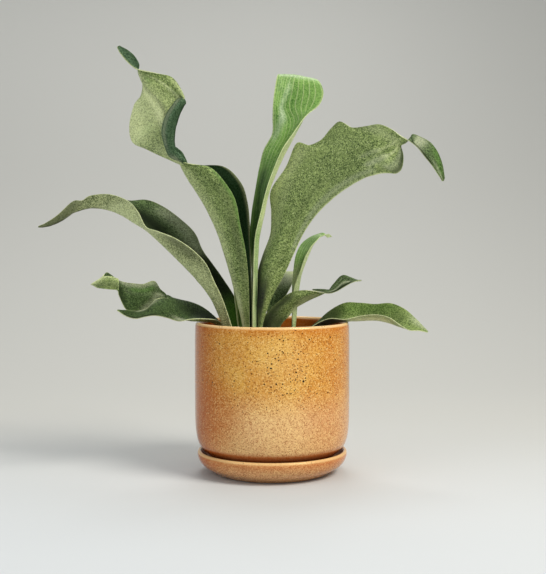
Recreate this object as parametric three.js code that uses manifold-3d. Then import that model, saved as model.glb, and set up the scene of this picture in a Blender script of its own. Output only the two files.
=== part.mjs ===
// A potted staghorn fern: a glazed pot on its saucer, filled with bark mix, with a low scaly crown
// from which ten waved and folded fronds rise.
// Millimetres, +Z up. The origin is on the pot's axis, in the plane of the saucer's flat foot.

import * as THREE from "three";
import { mergeVertices } from "three/addons/utils/BufferGeometryUtils.js";
import Module from "manifold-3d";

const wasm = await Module();
wasm.setup();

// Driving dimensions

const GAP = 0.3; // clearance between pieces that rest on or in each other
const ROUND_SIDES = 56; // sides of the turned pieces

const POT_RADIUS = 65.3; // widest outside radius of the pot
const POT_TOP = 127.9; // height of the rim's crest
const POT_WALL = 4.8;
const POT_FLOOR = 12.3; // top of the pot's floor
const DRAIN_RADIUS = 6;

const SAUCER_RADIUS = 63.3; // widest outside radius of the saucer
const SAUCER_TOP = 19.6;
const SAUCER_FLOOR = 4.2; // top of the saucer's floor
const SAUCER_FOOT = 46; // radius of the flat foot

const MIX_TOP = 104.8; // mean height of the potting mix
const MIX_BUMP = 0.9; // height of its lumps

const CROWN = { x: -6.5, y: -2, long: 31, wide: 20, low: 97.3, high: 106.8 };
const PEG_LOW = 99.8; // underside of each frond's foot in the crown
const PEG_HIGH = 108.8;

const ROW_LEVEL = -1.7; // height of the level from which the rows of the fronds give their heights
const EYE = new THREE.Vector3(0.7, -940, 203); // the viewpoint of the fronds, above that level
const BLADE = 0.8; // thickness of a blade
const STALK = 1.3; // thickness at the foot of a stalk

// Colours

const GLAZE = new THREE.MeshStandardMaterial({ color: "#b67a33", roughness: 0.25, metalness: 0 });
const BARK_MIX = new THREE.MeshStandardMaterial({ color: "#3b291c", roughness: 0.95, metalness: 0 });
const SCALES = new THREE.MeshStandardMaterial({ color: "#5d4a34", roughness: 0.95, metalness: 0 });
const FELTED = new THREE.MeshStandardMaterial({ color: "#6f8058", roughness: 0.75, metalness: 0 });
const YOUNG = new THREE.MeshStandardMaterial({ color: "#5f8a45", roughness: 0.6, metalness: 0 });
const PAPERY = new THREE.MeshStandardMaterial({ color: "#7c6a48", roughness: 0.85, metalness: 0 });

// Fronds
// Each row crosses the blade from margin to margin, and the rows follow each other from the foot
// to the tip. The green upper face lies on the side of (across the row) x (along the frond).

const TALL_LEFT = {
  peg: [-21, -12, 2.8],
  columns: 8,
  steps: 1,
  rows: [
    [[-19.7, -14, 109], [-21, -14, 109], [-22.7, -12.7, 109], [-23, -11.3, 109], [-20, -9.3, 108.5]],
    [
      [-18.8, -15.5, 126.5], [-21.3, -15, 126.5], [-23.5, -13, 126.5],
      [-24, -10.5, 126], [-17.5, -5, 126],
    ],
    [[-19, -18, 148.5], [-22.5, -18, 148.5], [-26.3, -15, 148], [-29, -10, 148], [-17.5, -1, 147.5]],
    [[-19.7, -20, 169], [-24, -20, 169], [-30, -17, 169], [-34.3, -10, 169], [-17.7, 4, 168.5]],
    [[-22, -22, 190], [-26.5, -22, 190], [-33.8, -18, 190], [-40.2, -11, 190], [-18, 8, 189.5]],
    [[-26, -25, 210], [-31, -25, 210], [-39.3, -20, 210.5], [-47.3, -12, 210.5], [-19, 11, 210.5]],
    [[-30, -28, 230.5], [-37, -28, 230], [-47.5, -23, 230], [-57, -15, 230.5], [-21, 12, 229.5]],
    [[-38.5, -30, 245], [-46.5, -31, 245], [-57, -26, 245.5], [-67, -18, 246.5], [-26.5, 9, 246.3]],
    [[-50.5, -31, 257], [-56, -32, 256.5], [-64.5, -28, 256], [-72.5, -21, 256], [-42, 4, 260]],
    [[-67.5, -32, 260], [-69, -31, 259.7], [-71.3, -28, 259], [-74.5, -24, 258.5], [-70, -17, 259]],
    [[-81.5, -34, 264.3], [-76.5, -38, 264], [-71.3, -33, 263.5], [-78.5, -26, 265.5], [-87, -21, 265]],
    [[-86, -33, 271.5], [-82, -40, 271.5], [-78.3, -33, 273], [-86.5, -26, 278], [-103.5, -19, 272.5]],
    [[-89.5, -32, 285.5], [-84, -41, 285], [-78.5, -33, 286], [-89, -26, 292.5], [-115, -17, 278.5]],
    [[-86.3, -31, 298.5], [-81, -40, 297], [-75.8, -31, 298], [-92.5, -25, 305.5], [-117.5, -16, 292]],
    [[-80.3, -29, 308.3], [-76, -36, 306.5], [-72.8, -29, 306.5], [-97, -24, 314.5], [-114, -16, 307.5]],
    [
      [-76.4, -28.5, 312.3], [-73.1, -33.5, 310.8], [-72.1, -28, 311],
      [-99, -23.5, 318.5], [-111.5, -16.5, 311.8],
    ],
    [[-71.8, -28, 315], [-72, -31, 314.5], [-81, -27, 320], [-101.3, -23, 322], [-108, -17, 316]],
    [[-80.5, -27, 329.5], [-83.7, -27, 328], [-91, -25, 327.5], [-104.5, -22, 328.5], [-106, -18, 324]],
    [
      [-94.5, -26, 333.5], [-97.7, -25, 333.5], [-102, -24, 333],
      [-106.5, -22, 333.5], [-107.8, -19, 329.5],
    ],
    [[-107, -25, 336], [-107.7, -24, 336], [-108.3, -23, 336], [-109, -22, 336], [-109.7, -20, 335.3]],
    [
      [-113.5, -24, 339], [-112.7, -23.5, 339.3], [-112, -22.5, 339.8],
      [-111.5, -21.5, 340.5], [-109, -18, 341.7],
    ],
    [
      [-119.5, -23, 344.5], [-118.3, -22.5, 345.5], [-117, -21.5, 346.5],
      [-115.7, -20.5, 347.5], [-113, -17, 348.7],
    ],
    [
      [-124.2, -22, 350.4], [-123.3, -21.5, 351], [-122, -21, 351.4],
      [-121, -20, 352], [-118.5, -17, 353.5],
    ],
    [
      [-126.6, -21, 355.2], [-126.4, -20.7, 355.6], [-126, -20.3, 356],
      [-125.6, -20, 356.3], [-125, -19, 356.8],
    ],
  ],
  lobes: [
    [
      [[-72.5, -29, 260], [-70, -30, 259.5], [-68.5, -29, 260]],
      [[-76, -29, 265], [-73, -30, 265.3], [-70.5, -29, 264.7]],
      [[-78.5, -28, 270.3], [-76, -29, 270.3], [-73.3, -28, 269.5]],
      [[-79.2, -28, 273.6], [-78.5, -28.5, 273.6], [-77.5, -28, 273]],
    ],
  ],
};

const LONG_LEFT = {
  peg: [-29.7, -10, 2.7],
  columns: 4,
  steps: 2,
  bend: { along: "x", from: -45, to: -195, by: 45 },
  rows: [
    [[-28.5, -12, 109], [-31.7, -10, 108.7], [-28.5, -8, 108.5]],
    [[-33.8, -14, 126.5], [-40.7, -9, 126], [-29.3, 0, 125.5]],
    [[-41, -17, 148.5], [-50.2, -9, 148], [-31, 3, 147]],
    [[-48.5, -18, 165], [-62.4, -9, 164], [-41, 6, 164]],
    [[-54.5, -19, 178], [-74.5, -9, 177], [-50.7, 8, 177.5]],
    [[-64.5, -20, 189], [-88, -10, 190.5], [-59.3, 10, 189.5]],
    [[-79, -22, 199], [-99, -10, 201.3], [-66, 12, 204]],
    [[-93.5, -24, 205], [-107.3, -12, 209], [-78.5, 12, 216]],
    [[-103.3, -25, 208.7], [-117, -13, 215.4], [-92.7, 10, 226.3]],
    [[-109.7, -25, 221], [-126.8, -14, 220], [-106, 7, 231.7]],
    [[-118, -24, 230], [-139, -15, 223.5], [-119.7, 2, 231]],
    [[-133, -23, 235.5], [-150.5, -16, 224.4], [-134, -2, 234]],
    [[-148.5, -23, 234.5], [-163, -16, 221], [-150.5, -6, 232]],
    [[-155.5, -23, 230.6], [-168, -17, 218], [-157, -7, 228.8]],
    [[-163.5, -23, 229.7], [-174, -18.5, 213.7], [-166, -9, 226]],
    [[-175.5, -23, 219], [-182, -20, 210], [-177.5, -13, 216]],
    [[-185.2, -22.5, 212.5], [-188, -21, 208.7], [-186.7, -17, 210.8]],
    [[-192, -21.5, 209.5], [-192.4, -21, 208.7], [-192, -20, 208.7]],
  ],
};

const LOW_LEFT = {
  peg: [-30, 1.5, 2.7],
  columns: 8,
  steps: 1,
  bend: { along: "x", from: -66, to: -141, by: -38 },
  rows: [
    [[-29, -0.3, 109], [-31.7, 1.5, 108.5], [-29, 3.3, 109]],
    [[-35.5, -4, 119], [-36.5, 2, 115.5], [-35, 8, 118]],
    [[-44.5, -7, 130], [-46, 1, 125.5], [-47.5, 11, 131]],
    [[-56.7, -14, 132.5], [-57.5, -9, 130], [-58, 0, 131.5], [-58, 8, 136.5], [-58.3, 12, 139.8]],
    [[-68, -18, 132.5], [-69, -12, 131], [-69.5, -3, 134], [-69, 6, 141], [-68.5, 12, 144.5]],
    [[-77, -19, 131], [-78.5, -13, 134.5], [-79, -5, 139.5], [-79, 5, 145], [-78.8, 12, 147]],
    [[-86, -19, 133.5], [-87.5, -13, 139], [-87.7, -5, 145.5], [-88.3, 5, 150.7], [-88.5, 13, 149.5]],
  ],
  forks: [
    {
      from: 0,
      to: 5,
      rows: [
        [[-96, -19, 135.5], [-97, -9, 143], [-97.7, 1, 148]],
        [[-104.3, -19, 134.8], [-105, -12, 138], [-105.7, -1, 140.5]],
        [[-112.8, -18, 133], [-112.6, -12, 136], [-113, -3, 138.2]],
        [[-121.2, -17, 135], [-121, -12, 137.2], [-121, -6, 139]],
        [[-129, -13, 139.4], [-129.3, -12, 139.7], [-129.3, -11, 139.7]],
      ],
    },
    {
      from: 5,
      to: 8,
      rows: [
        [[-91, 6, 145], [-91.7, 11, 149], [-92, 15, 152.5]],
        [[-98, 8, 139], [-98.3, 11, 149.3], [-96, 15, 156]],
        [[-104, 6, 136], [-103, 8, 148.5], [-101, 13, 163]],
        [[-111, 4, 135], [-110.5, 5, 148], [-110, 10, 160.5]],
        [[-118, 2, 136.5], [-117.5, 3.5, 149], [-117.5, 8, 161]],
        [[-124, 1, 139.7], [-123.3, 2.5, 150.5], [-124, 7, 161.8]],
        [[-129, 0, 150.5], [-128, 1, 156.6], [-129.5, 5, 163.5]],
        [[-130.5, -1, 155.5], [-130.5, 0, 158.8], [-132.5, 4, 165.5]],
        [[-137, -3, 157], [-137, -1, 161.3], [-139.5, 3, 170.5]],
        [[-145, -7, 158], [-148.8, -6.5, 160.3], [-149.3, -6, 161], [-145.3, -4, 164.4], [-142, -1, 168]],
        [
          [-145, -10, 158], [-149.3, -10, 160.7], [-149.8, -10, 161.2],
          [-145, -9, 164.4], [-141, -7, 167.5],
        ],
        [[-136.7, -12, 157], [-135.4, -12, 162.2], [-135, -9, 167.7]],
        [[-128, -12, 156.5], [-127.6, -12, 160.6], [-128.3, -9, 165.5]],
      ],
    },
  ],
};

const CENTRE = {
  peg: [-14.7, -12.7, 2.2],
  columns: 4,
  steps: 2,
  rows: [
    [[-15.7, -11.2, 108.7], [-13.3, -12.7, 109], [-15.7, -14, 109]],
    [[-16.9, -9, 126], [-13.2, -12, 126.4], [-16.3, -16, 126.7]],
    [[-17, -8, 148], [-12.8, -12, 148], [-16, -17, 148.4]],
    [[-17, -7, 169], [-12.4, -12, 169], [-15.4, -18, 169]],
    [[-17.5, -6, 185.5], [-11.8, -12, 185.5], [-15, -18, 185.7]],
    [[-18.6, -4, 202], [-10.5, -12, 202], [-13.7, -19, 202]],
    [[-17, -2, 221.5], [-6.5, -11, 221], [-9.2, -20, 221]],
    [[-14, 0, 240], [-9.5, -5, 239.5], [-4.5, -7, 239.5], [-1.7, -11, 240.5], [-4.3, -20, 240.5]],
    [[-10.8, 1, 258.3], [-5, -4, 257], [1, -6, 256.5], [5.2, -10, 258], [2, -20, 258]],
    [[-7, 1, 273.5], [0, -4, 271.5], [7, -5, 271], [12.2, -9, 272.5], [8.8, -20, 273]],
    [[0, 0, 286.7], [7, -5, 284], [14, -5, 283.5], [19.5, -9, 286], [17.6, -18, 286]],
    [[0.3, -2, 299.8], [8.5, -5, 297], [17, -6, 296.5], [25.5, -11, 299], [27.8, -16, 300]],
    [[0.7, -3, 312], [13.2, -3, 308], [38.7, -13, 309.3]],
    [[2, -2, 323], [15, -1, 320], [42.5, -9, 319.5]],
    [[3.7, 2, 333.5], [17.5, 3, 332], [40, -2, 329]],
    [[5, 6, 337], [19.3, 9, 336.7], [36, 5, 333]],
    [[6, 12, 336.5], [20.2, 16, 336.3], [34.5, 12, 332]],
    [[10, 16, 332], [21.2, 20, 331], [29.5, 16, 328.7]],
  ],
};

const BROAD_RIGHT = {
  peg: [-8.5, -12.7, 2.6],
  columns: 5,
  steps: 1,
  bend: { along: "x", from: 5, to: 115, by: -35 },
  rows: [
    [[-6.7, -12, 108.7], [-8.5, -14.3, 109], [-10.3, -12, 108.8]],
    [[-8.2, -11, 126.3], [-10, -15, 126.5], [-12.8, -9, 126]],
    [[-0.5, -14, 150], [-8.4, -16, 148.3], [-12.7, -8, 147.8]],
    [[9.5, -17, 168.3], [-3.4, -18, 171], [-12.3, -7, 168.7]],
    [[17.6, -20, 185.9], [3.2, -20, 189], [-7.7, -6, 185.4]],
    [[25.6, -22, 203], [9.7, -21, 208], [-1.4, -6, 203]],
    [[36.4, -25, 218.8], [15.5, -22, 227.5], [-0.6, -6, 221.3]],
    [[50.4, -27, 232.5], [24.4, -23, 244], [-1, -6, 239]],
    [[64.2, -29, 242.4], [37.5, -24, 255], [11.5, -8, 258.6]],
    [[75.8, -31, 248.6], [50.4, -26, 263.3], [20.2, -9, 278]],
    [[82, -32, 250.4], [57.7, -27, 266.4], [29.5, -13, 276]],
    [[88.2, -32, 252], [65, -28, 269.6], [40.4, -15.5, 280.5]],
    [[94.8, -31, 252.3], [72.2, -29, 272.8], [48.4, -17.5, 289.7]],
    [[100.6, -30, 252], [79.4, -30, 274.7], [55.7, -19, 295.2]],
    [[105, -28, 255], [86.7, -30, 275.5], [65.2, -23, 290]],
    [[106.8, -27, 260.8], [92.4, -30, 276.3], [76.4, -26, 290.8]],
    [[106.8, -27, 267.2], [97.2, -30, 278], [86.7, -29, 292]],
    [[105, -27, 274.5], [101.6, -31, 280], [96.3, -31, 288]],
    [[108.8, -28, 277], [107.3, -31, 278.3], [104.2, -33, 282]],
    [[112.8, -25, 281.8], [112.4, -29, 279.6], [111.5, -33, 277.8]],
    [[114.8, -24, 284.2], [114.3, -30, 280], [114.2, -34, 275.6]],
    [[120, -24, 282.7], [118.3, -30, 277.5], [117.8, -34, 272.4]],
    [[128.7, -24, 278], [125.9, -30, 271.8], [124.2, -33, 264.6]],
    [[135, -25, 270], [132, -29, 264], [130.4, -31, 257.4]],
    [[138.9, -26, 259.6], [136.9, -28, 255.8], [135.2, -29, 250.8]],
    [[140.7, -27, 248.5], [139.8, -27.5, 246.4], [138.6, -28, 245.7]],
  ],
};

const SMALL_RIGHT = {
  peg: [16.4, 8, 2.2],
  columns: 4,
  steps: 2,
  bend: { along: "z", from: 170, to: 215, by: 25 },
  rows: [
    [[15.5, 9.3, 108.5], [17.6, 8, 108.5], [15.7, 6.5, 108.5]],
    [[16.7, 9, 124.5], [19.6, 7, 124.8], [17, 5, 125]],
    [[17, 9.5, 142.5], [21, 7, 142.7], [17.2, 4, 143]],
    [[17, 10, 157], [22.6, 7, 157.2], [18.5, 2.5, 157.4]],
    [[18, 11, 170.6], [25, 7.5, 170], [23.5, 1.5, 171]],
    [[20, 12, 184], [28.7, 8, 181], [28, 1, 183.6]],
    [[24.6, 12, 194], [31.2, 7, 187.7], [32.7, 1, 192]],
    [[31.3, 11, 199.7], [34.6, 6, 195.4], [37, 2, 196.8]],
    [[38, 9, 202.7], [38.8, 5, 201], [40.4, 3, 200.4]],
    [[43.4, 5, 203.7], [43, 4, 202], [42.5, 3, 201.3]],
    [[46.3, 4, 200.2], [46.7, 3.5, 201.7], [47.5, 3, 203]],
    [[50.2, 5, 200.6], [50.3, 4.5, 200.8], [50.4, 4, 201]],
  ],
};

const FORKED_RIGHT = {
  peg: [-0.5, -2, 2.9],
  columns: 4,
  steps: 2,
  rows: [
    [[1.5, -1, 108.7], [-0.5, -3.2, 109], [-2.5, -1, 108.7]],
    [[7, 1, 125.3], [-0.6, -3, 125.6], [-8.5, 0, 128.8]],
    [[13.4, 2, 132.8], [5, -3, 135.7], [-3.5, 0, 137.6]],
    [[20.2, 3, 140.4], [13.3, -3, 144.2], [5.8, 0, 146.5]],
    [[27, 4, 144.6], [21, -3, 149.2], [15, -1, 153.3]],
    [[33.8, 5, 148], [30.2, -2, 151.7], [25, -2, 155.7]],
    [[42.3, 6, 151.7], [38.7, 0, 153.3], [35.2, -3, 155]],
    [[48.3, 8, 155.4], [47.3, 4, 154], [46.2, 0, 153]],
    [[51.8, 9, 160], [53.2, 4, 157], [53.8, 0, 154.5]],
    [[59.5, 10, 167.7], [60, 5, 163.2], [60.6, 0, 158.3]],
    [[67, 9, 166], [66.8, 5, 163.6], [66.6, 2, 161.6]],
    [[72, 7, 164], [72, 5, 163.6], [71.8, 3.5, 163.3]],
    [[75.8, 6, 164], [75.7, 5.5, 163.8], [75.7, 5, 163.6]],
  ],
  lobes: [
    [
      [[51, 6.5, 154], [51, 7.5, 154.6], [51, 9, 155.2]],
      [[42.4, 7.5, 154.2], [42.4, 8.7, 155.2], [42.4, 10, 156]],
      [[34.3, 9, 155.3], [34.3, 9.3, 155.6], [34.3, 9.7, 156]],
    ],
  ],
};

const BACK = {
  peg: [-4, 11.5, 2.5],
  columns: 4,
  steps: 2,
  rows: [
    [[-5.7, 10.7, 108.5], [-4, 12.7, 108.5], [-2.3, 10.7, 108.5]],
    [[-5.3, 13, 124.3], [-2, 15, 124], [1.6, 13, 124.3]],
    [[-4.4, 15, 139.5], [-0.2, 18, 139.4], [4.6, 15, 139.6]],
    [[-3.6, 18, 151.5], [3.3, 22, 151.2], [12, 18, 150.6]],
    [[-2.8, 23, 161.6], [6.8, 27, 161.4], [17.5, 22, 160.8]],
    [[-1, 30, 167.4], [8.6, 33, 167.7], [19, 29, 167.4]],
    [[1.6, 38, 169.7], [10, 41, 170], [18.7, 37, 169.7]],
    [[4.2, 46, 167.6], [10.5, 49, 168], [16.6, 45, 167.2]],
    [[7.8, 53, 164.7], [11, 55, 164.7], [14, 53, 164.3]],
  ],
};

const LOW_RIGHT = {
  peg: [12.2, -2, 2.6],
  columns: 4,
  steps: 2,
  bend: { along: "x", from: 66, to: 118, by: -30 },
  rows: [
    [[12.8, -0.2, 109.3], [11, -2, 108.8], [12.8, -3.8, 109.3]],
    [[26.3, 8, 118.7], [26, 0, 117], [26.7, -7, 120]],
    [[37.5, 12, 127], [37, 0, 123.7], [37.4, -11, 128.3]],
    [[49.5, 14, 137.5], [49, 2, 127], [48, -14, 132.8]],
    [[62.4, 15, 144], [61.6, 2, 130], [60.5, -16, 132.3]],
    [[75.3, 15, 144], [74.2, 1, 130.2], [74.4, -18, 135.4]],
    [[88, 14, 143], [87.6, -1, 130.5], [86.7, -19, 136.2]],
    [[101.3, 12, 143.8], [98.3, -4, 129], [96.8, -20, 133.9]],
    [[112.7, 9, 139.2], [107.5, -8, 126.2], [106.2, -19, 127.5]],
    [[121.3, 3, 131.6], [115.8, -10, 124], [114, -17, 123.2]],
    [[127.1, -3, 125.4], [124.2, -9, 122.5], [122.6, -13, 122.6]],
    [[130.6, -7, 121.1], [130.4, -8, 120.8], [129.6, -9, 120.8]],
  ],
};

const FOOT_LEFT = {
  peg: [-24, -3.7, 2.2],
  columns: 2,
  steps: 2,
  rows: [
    [[-25.3, -4.7, 108.5], [-24, -2.7, 108.5], [-22.7, -4.7, 108.5]],
    [[-28.7, -6, 126], [-26.7, -3, 125.6], [-23.7, -4, 125.7]],
    [[-30.3, -6, 139.3], [-28.3, -3, 139], [-25.4, -4, 139]],
    [[-31.8, -5, 151], [-29.6, -3, 151], [-27, -4, 151]],
    [[-32.2, -5, 159.4], [-30.4, -3, 159.3], [-28.3, -4, 159.4]],
    [[-31.5, -4, 166], [-31, -3.5, 166], [-30.5, -4, 166]],
  ],
};

// The two shield fronds lie on the mix before and behind the crown.

const SHIELD_FRONT = {
  columns: 6,
  steps: 1,
  rows: [
    [[-22, -22.5, 109.5], [-16, -23.5, 111], [-9, -24, 111.5], [-2, -23.5, 111], [5, -22.5, 109.5]],
    [[-28, -27, 108.4], [-19, -29, 111], [-9, -30, 112], [1, -29, 111], [10, -27, 108.4]],
    [[-30, -33, 108.4], [-20, -36, 110], [-9, -37, 111], [2, -36, 110], [12, -33, 108.4]],
    [[-26, -40, 108.4], [-18, -43, 108.6], [-9, -44, 109], [0, -43, 108.6], [8, -40, 108.4]],
    [[-18, -46, 108.4], [-13.5, -47.5, 108.4], [-9, -48, 108.5], [-4.5, -47.5, 108.4], [0, -46, 108.4]],
  ],
};

const SHIELD_BACK = {
  columns: 6,
  steps: 1,
  rows: [
    [[10, 23, 109], [3, 24, 110], [-4, 24.5, 110.5], [-11, 24, 110], [-18, 23, 109]],
    [[15, 28, 107.9], [6, 30, 110], [-4, 31, 111], [-14, 30, 110], [-23, 28, 107.9]],
    [[16, 34, 107.9], [7, 37, 109], [-4, 38, 110], [-15, 37, 109], [-24, 34, 107.9]],
    [[10, 41, 107.9], [3, 43, 108], [-4, 44, 108.3], [-11, 43, 108], [-18, 41, 107.9]],
  ],
};

// Curves and thin sheets

// A smooth curve through evenly numbered points; at is counted in points.
function along(points, at) {
  const last = points.length - 1;
  const i = Math.min(Math.floor(at), last - 1);
  const t = at - i;
  const p1 = points[i];
  const p2 = points[i + 1];
  const p0 = i > 0 ? points[i - 1] : p1.clone().multiplyScalar(2).sub(p2);
  const p3 = i + 2 <= last ? points[i + 2] : p2.clone().multiplyScalar(2).sub(p1);
  const blend = (a, b, c, d) =>
    0.5 * (2 * b + (c - a) * t + (2 * a - 5 * b + 4 * c - d) * t * t + (3 * b - a - 3 * c + d) * t ** 3);
  return new THREE.Vector3(
    blend(p0.x, p1.x, p2.x, p3.x),
    blend(p0.y, p1.y, p2.y, p3.y),
    blend(p0.z, p1.z, p2.z, p3.z),
  );
}

// A point of a row in its place, after the frond's bend forwards or back, which grows along x or z
// from one value to another. The point slides along its line from EYE, so the outline seen from
// there is kept.
function placed([x, y, z], bend) {
  const point = new THREE.Vector3(x, y, z);
  if (bend) {
    const share = THREE.MathUtils.smoothstep((point[bend.along] - bend.from) / (bend.to - bend.from), 0, 1);
    const scale = (y + share * bend.by - EYE.y) / (y - EYE.y);
    point.sub(EYE).multiplyScalar(scale).add(EYE);
  }
  point.z += ROW_LEVEL;
  return point;
}

// The points of one row, spread evenly from margin to margin.
function spread(row, columns, bend) {
  const points = row.map((p) => placed(p, bend));
  return Array.from({ length: columns + 1 }, (_, j) => along(points, (j / columns) * (points.length - 1)));
}

// A sheet of quads in space, grown strip by strip, then given its thickness.
class Sheet {
  constructor(bend) {
    this.bend = bend;
    this.points = [];
    this.halves = [];
    this.quads = [];
  }

  add(point, thickness) {
    this.halves.push(thickness / 2);
    return this.points.push(point) - 1;
  }

  // Adds a strip that follows rows. A fork begins on the points of seam, and leaves them in the
  // direction that it has from the points of before.
  strip(rows, columns, steps, thickness, seam = null, before = null) {
    const spreads = rows.map((row) => spread(row, columns, this.bend));
    const start = seam ? 1 : 0;
    const lines = Array.from({ length: columns + 1 }, (_, j) => {
      const line = spreads.map((points) => points[j]);
      return seam ? [before[j], this.points[seam[j]], ...line] : line;
    });
    const spans = lines[0].length - 1 - start;
    let previous = seam || lines.map((line) => this.add(line[0], thickness(0)));
    for (let k = 1; k <= spans * steps; k++) {
      const at = k / steps;
      const ids = lines.map((line) => this.add(along(line, start + at), thickness(at)));
      for (let j = 0; j < columns; j++)
        this.quads.push([previous[j], previous[j + 1], ids[j + 1], ids[j]]);
      previous = ids;
    }
    return { seam: previous, before: spreads.at(-2) };
  }

  // The closed solid of the sheet, with the same triangles on both faces and a rim between them.
  solid() {
    const normals = this.points.map(() => new THREE.Vector3());
    const triangles = this.quads.flatMap(([a, b, c, d]) => [
      [a, b, c],
      [a, c, d],
    ]);
    for (const [a, b, c] of triangles) {
      const u = this.points[b].clone().sub(this.points[a]);
      const v = this.points[c].clone().sub(this.points[a]);
      const n = u.cross(v);
      for (const i of [a, b, c]) normals[i].add(n);
    }
    const count = this.points.length;
    const position = new Float32Array(count * 6);
    this.points.forEach((p, i) => {
      const n = normals[i].normalize().multiplyScalar(this.halves[i]);
      p.clone().add(n).toArray(position, i * 3);
      p.clone().sub(n).toArray(position, (i + count) * 3);
    });
    const index = [];
    const edges = new Map();
    for (const [a, b, c] of triangles) {
      index.push(a, b, c, a + count, c + count, b + count);
      for (const [i, j] of [
        [a, b],
        [b, c],
        [c, a],
      ]) {
        const twin = j + "," + i;
        if (edges.has(twin)) edges.delete(twin);
        else edges.set(i + "," + j, [i, j]);
      }
    }
    for (const [i, j] of edges.values())
      index.push(j, i, i + count, j, i + count, j + count);
    const geometry = new THREE.BufferGeometry();
    geometry.setAttribute("position", new THREE.BufferAttribute(position, 3));
    geometry.setIndex(index);
    return toSolid(geometry);
  }
}

// Closed solids

// A geometry as a solid that can be joined and cut.
function toSolid(geometry) {
  const bare = geometry.clone();
  bare.deleteAttribute("normal");
  bare.deleteAttribute("uv");
  const merged = mergeVertices(bare, 1e-4);
  return new wasm.Manifold(
    new wasm.Mesh({
      numProp: 3,
      vertProperties: merged.attributes.position.array,
      triVerts: new Uint32Array(merged.index.array),
    }),
  );
}

// A solid back as a geometry.
function toGeometry(solid) {
  const mesh = solid.getMesh();
  const geometry = new THREE.BufferGeometry();
  geometry.setAttribute("position", new THREE.BufferAttribute(mesh.vertProperties, 3));
  geometry.setIndex(new THREE.BufferAttribute(mesh.triVerts, 1));
  geometry.computeVertexNormals();
  return geometry;
}

// A piece turned about the Z axis from [radius, height] points that run from the axis below to the
// axis above, or round a closed section.
function turned(profile, sides = ROUND_SIDES) {
  const geometry = new THREE.LatheGeometry(
    profile.map(([r, z]) => new THREE.Vector2(r, z)),
    sides,
  );
  geometry.rotateX(Math.PI / 2);
  return geometry;
}

// A small upright peg with a domed top: the foot on which a stalk stands in the crown.
function peg(x, y, radius, low, high, sides = 10) {
  const geometry = turned(
    [
      [0, low],
      [radius, low],
      [radius, high - 1.6],
      [radius * 0.75, high - 0.6],
      [0, high],
    ],
    sides,
  );
  geometry.translate(x, y, 0);
  return toSolid(geometry);
}

function stalkThickness(at) {
  return Math.max(BLADE, STALK - 0.25 * at);
}

function frond(shape) {
  const sheet = new Sheet(shape.bend);
  const trunk = sheet.strip(shape.rows, shape.columns, shape.steps, stalkThickness);
  for (const fork of shape.forks || [])
    sheet.strip(
      fork.rows,
      fork.to - fork.from,
      shape.steps,
      () => BLADE,
      trunk.seam.slice(fork.from, fork.to + 1),
      trunk.before.slice(fork.from, fork.to + 1),
    );
  let solid = sheet.solid();
  for (const rows of shape.lobes || []) {
    const lobe = new Sheet(shape.bend);
    lobe.strip(rows, 2, 2, () => BLADE);
    solid = solid.add(lobe.solid());
  }
  return shape.peg ? solid.add(peg(...shape.peg, PEG_LOW, PEG_HIGH)) : solid;
}

// The potting mix: a turned body that fills the pot, with a lumpy top.

function mixHeight(x, y) {
  const lumps =
    Math.sin(x * 0.62 + 1.3 * Math.sin(y * 0.35)) * Math.cos(y * 0.55 + 0.8 * Math.sin(x * 0.41));
  return MIX_TOP + MIX_BUMP * lumps;
}

function pottingMix() {
  const inside = POT_RADIUS - POT_WALL - GAP;
  const rings = [];
  const bottom = [
    [DRAIN_RADIUS + 8, POT_FLOOR + GAP],
    [38, POT_FLOOR + GAP],
    [47, POT_FLOOR + 3.5],
    [54, POT_FLOOR + 11],
    [58, POT_FLOOR + 20],
    [inside, POT_FLOOR + 34],
  ];
  for (const [r, z] of bottom) rings.push({ r, z: () => z });
  for (const share of [1, 0.93, 0.86, 0.79, 0.72, 0.64, 0.56])
    rings.push({ r: inside * share, z: mixHeight });
  const sides = 44;
  const position = [0, 0, POT_FLOOR + GAP];
  for (const ring of rings)
    for (let k = 0; k < sides; k++) {
      const angle = (2 * Math.PI * k) / sides;
      const x = ring.r * Math.cos(angle);
      const y = ring.r * Math.sin(angle);
      position.push(x, y, ring.z(x, y));
    }
  position.push(0, 0, mixHeight(0, 0));
  const at = (ring, k) => 1 + ring * sides + (k % sides);
  const top = position.length / 3 - 1;
  const index = [];
  for (let k = 0; k < sides; k++) {
    index.push(0, at(0, k + 1), at(0, k));
    for (let ring = 0; ring + 1 < rings.length; ring++)
      index.push(
        at(ring, k),
        at(ring, k + 1),
        at(ring + 1, k + 1),
        at(ring, k),
        at(ring + 1, k + 1),
        at(ring + 1, k),
      );
    index.push(at(rings.length - 1, k), at(rings.length - 1, k + 1), top);
  }
  const geometry = new THREE.BufferGeometry();
  geometry.setAttribute("position", new THREE.BufferAttribute(new Float32Array(position), 3));
  geometry.setIndex(index);
  const pocket = new THREE.CylinderGeometry(1, 1, 60, 28);
  pocket.rotateX(Math.PI / 2);
  pocket.scale(CROWN.long + GAP, CROWN.wide + GAP, 1);
  pocket.translate(CROWN.x, CROWN.y, CROWN.low - GAP + 30);
  return toSolid(geometry).subtract(toSolid(pocket));
}

// The crown: a low oval mound with a scaly skin and a plain hole for the foot of each frond.

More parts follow.
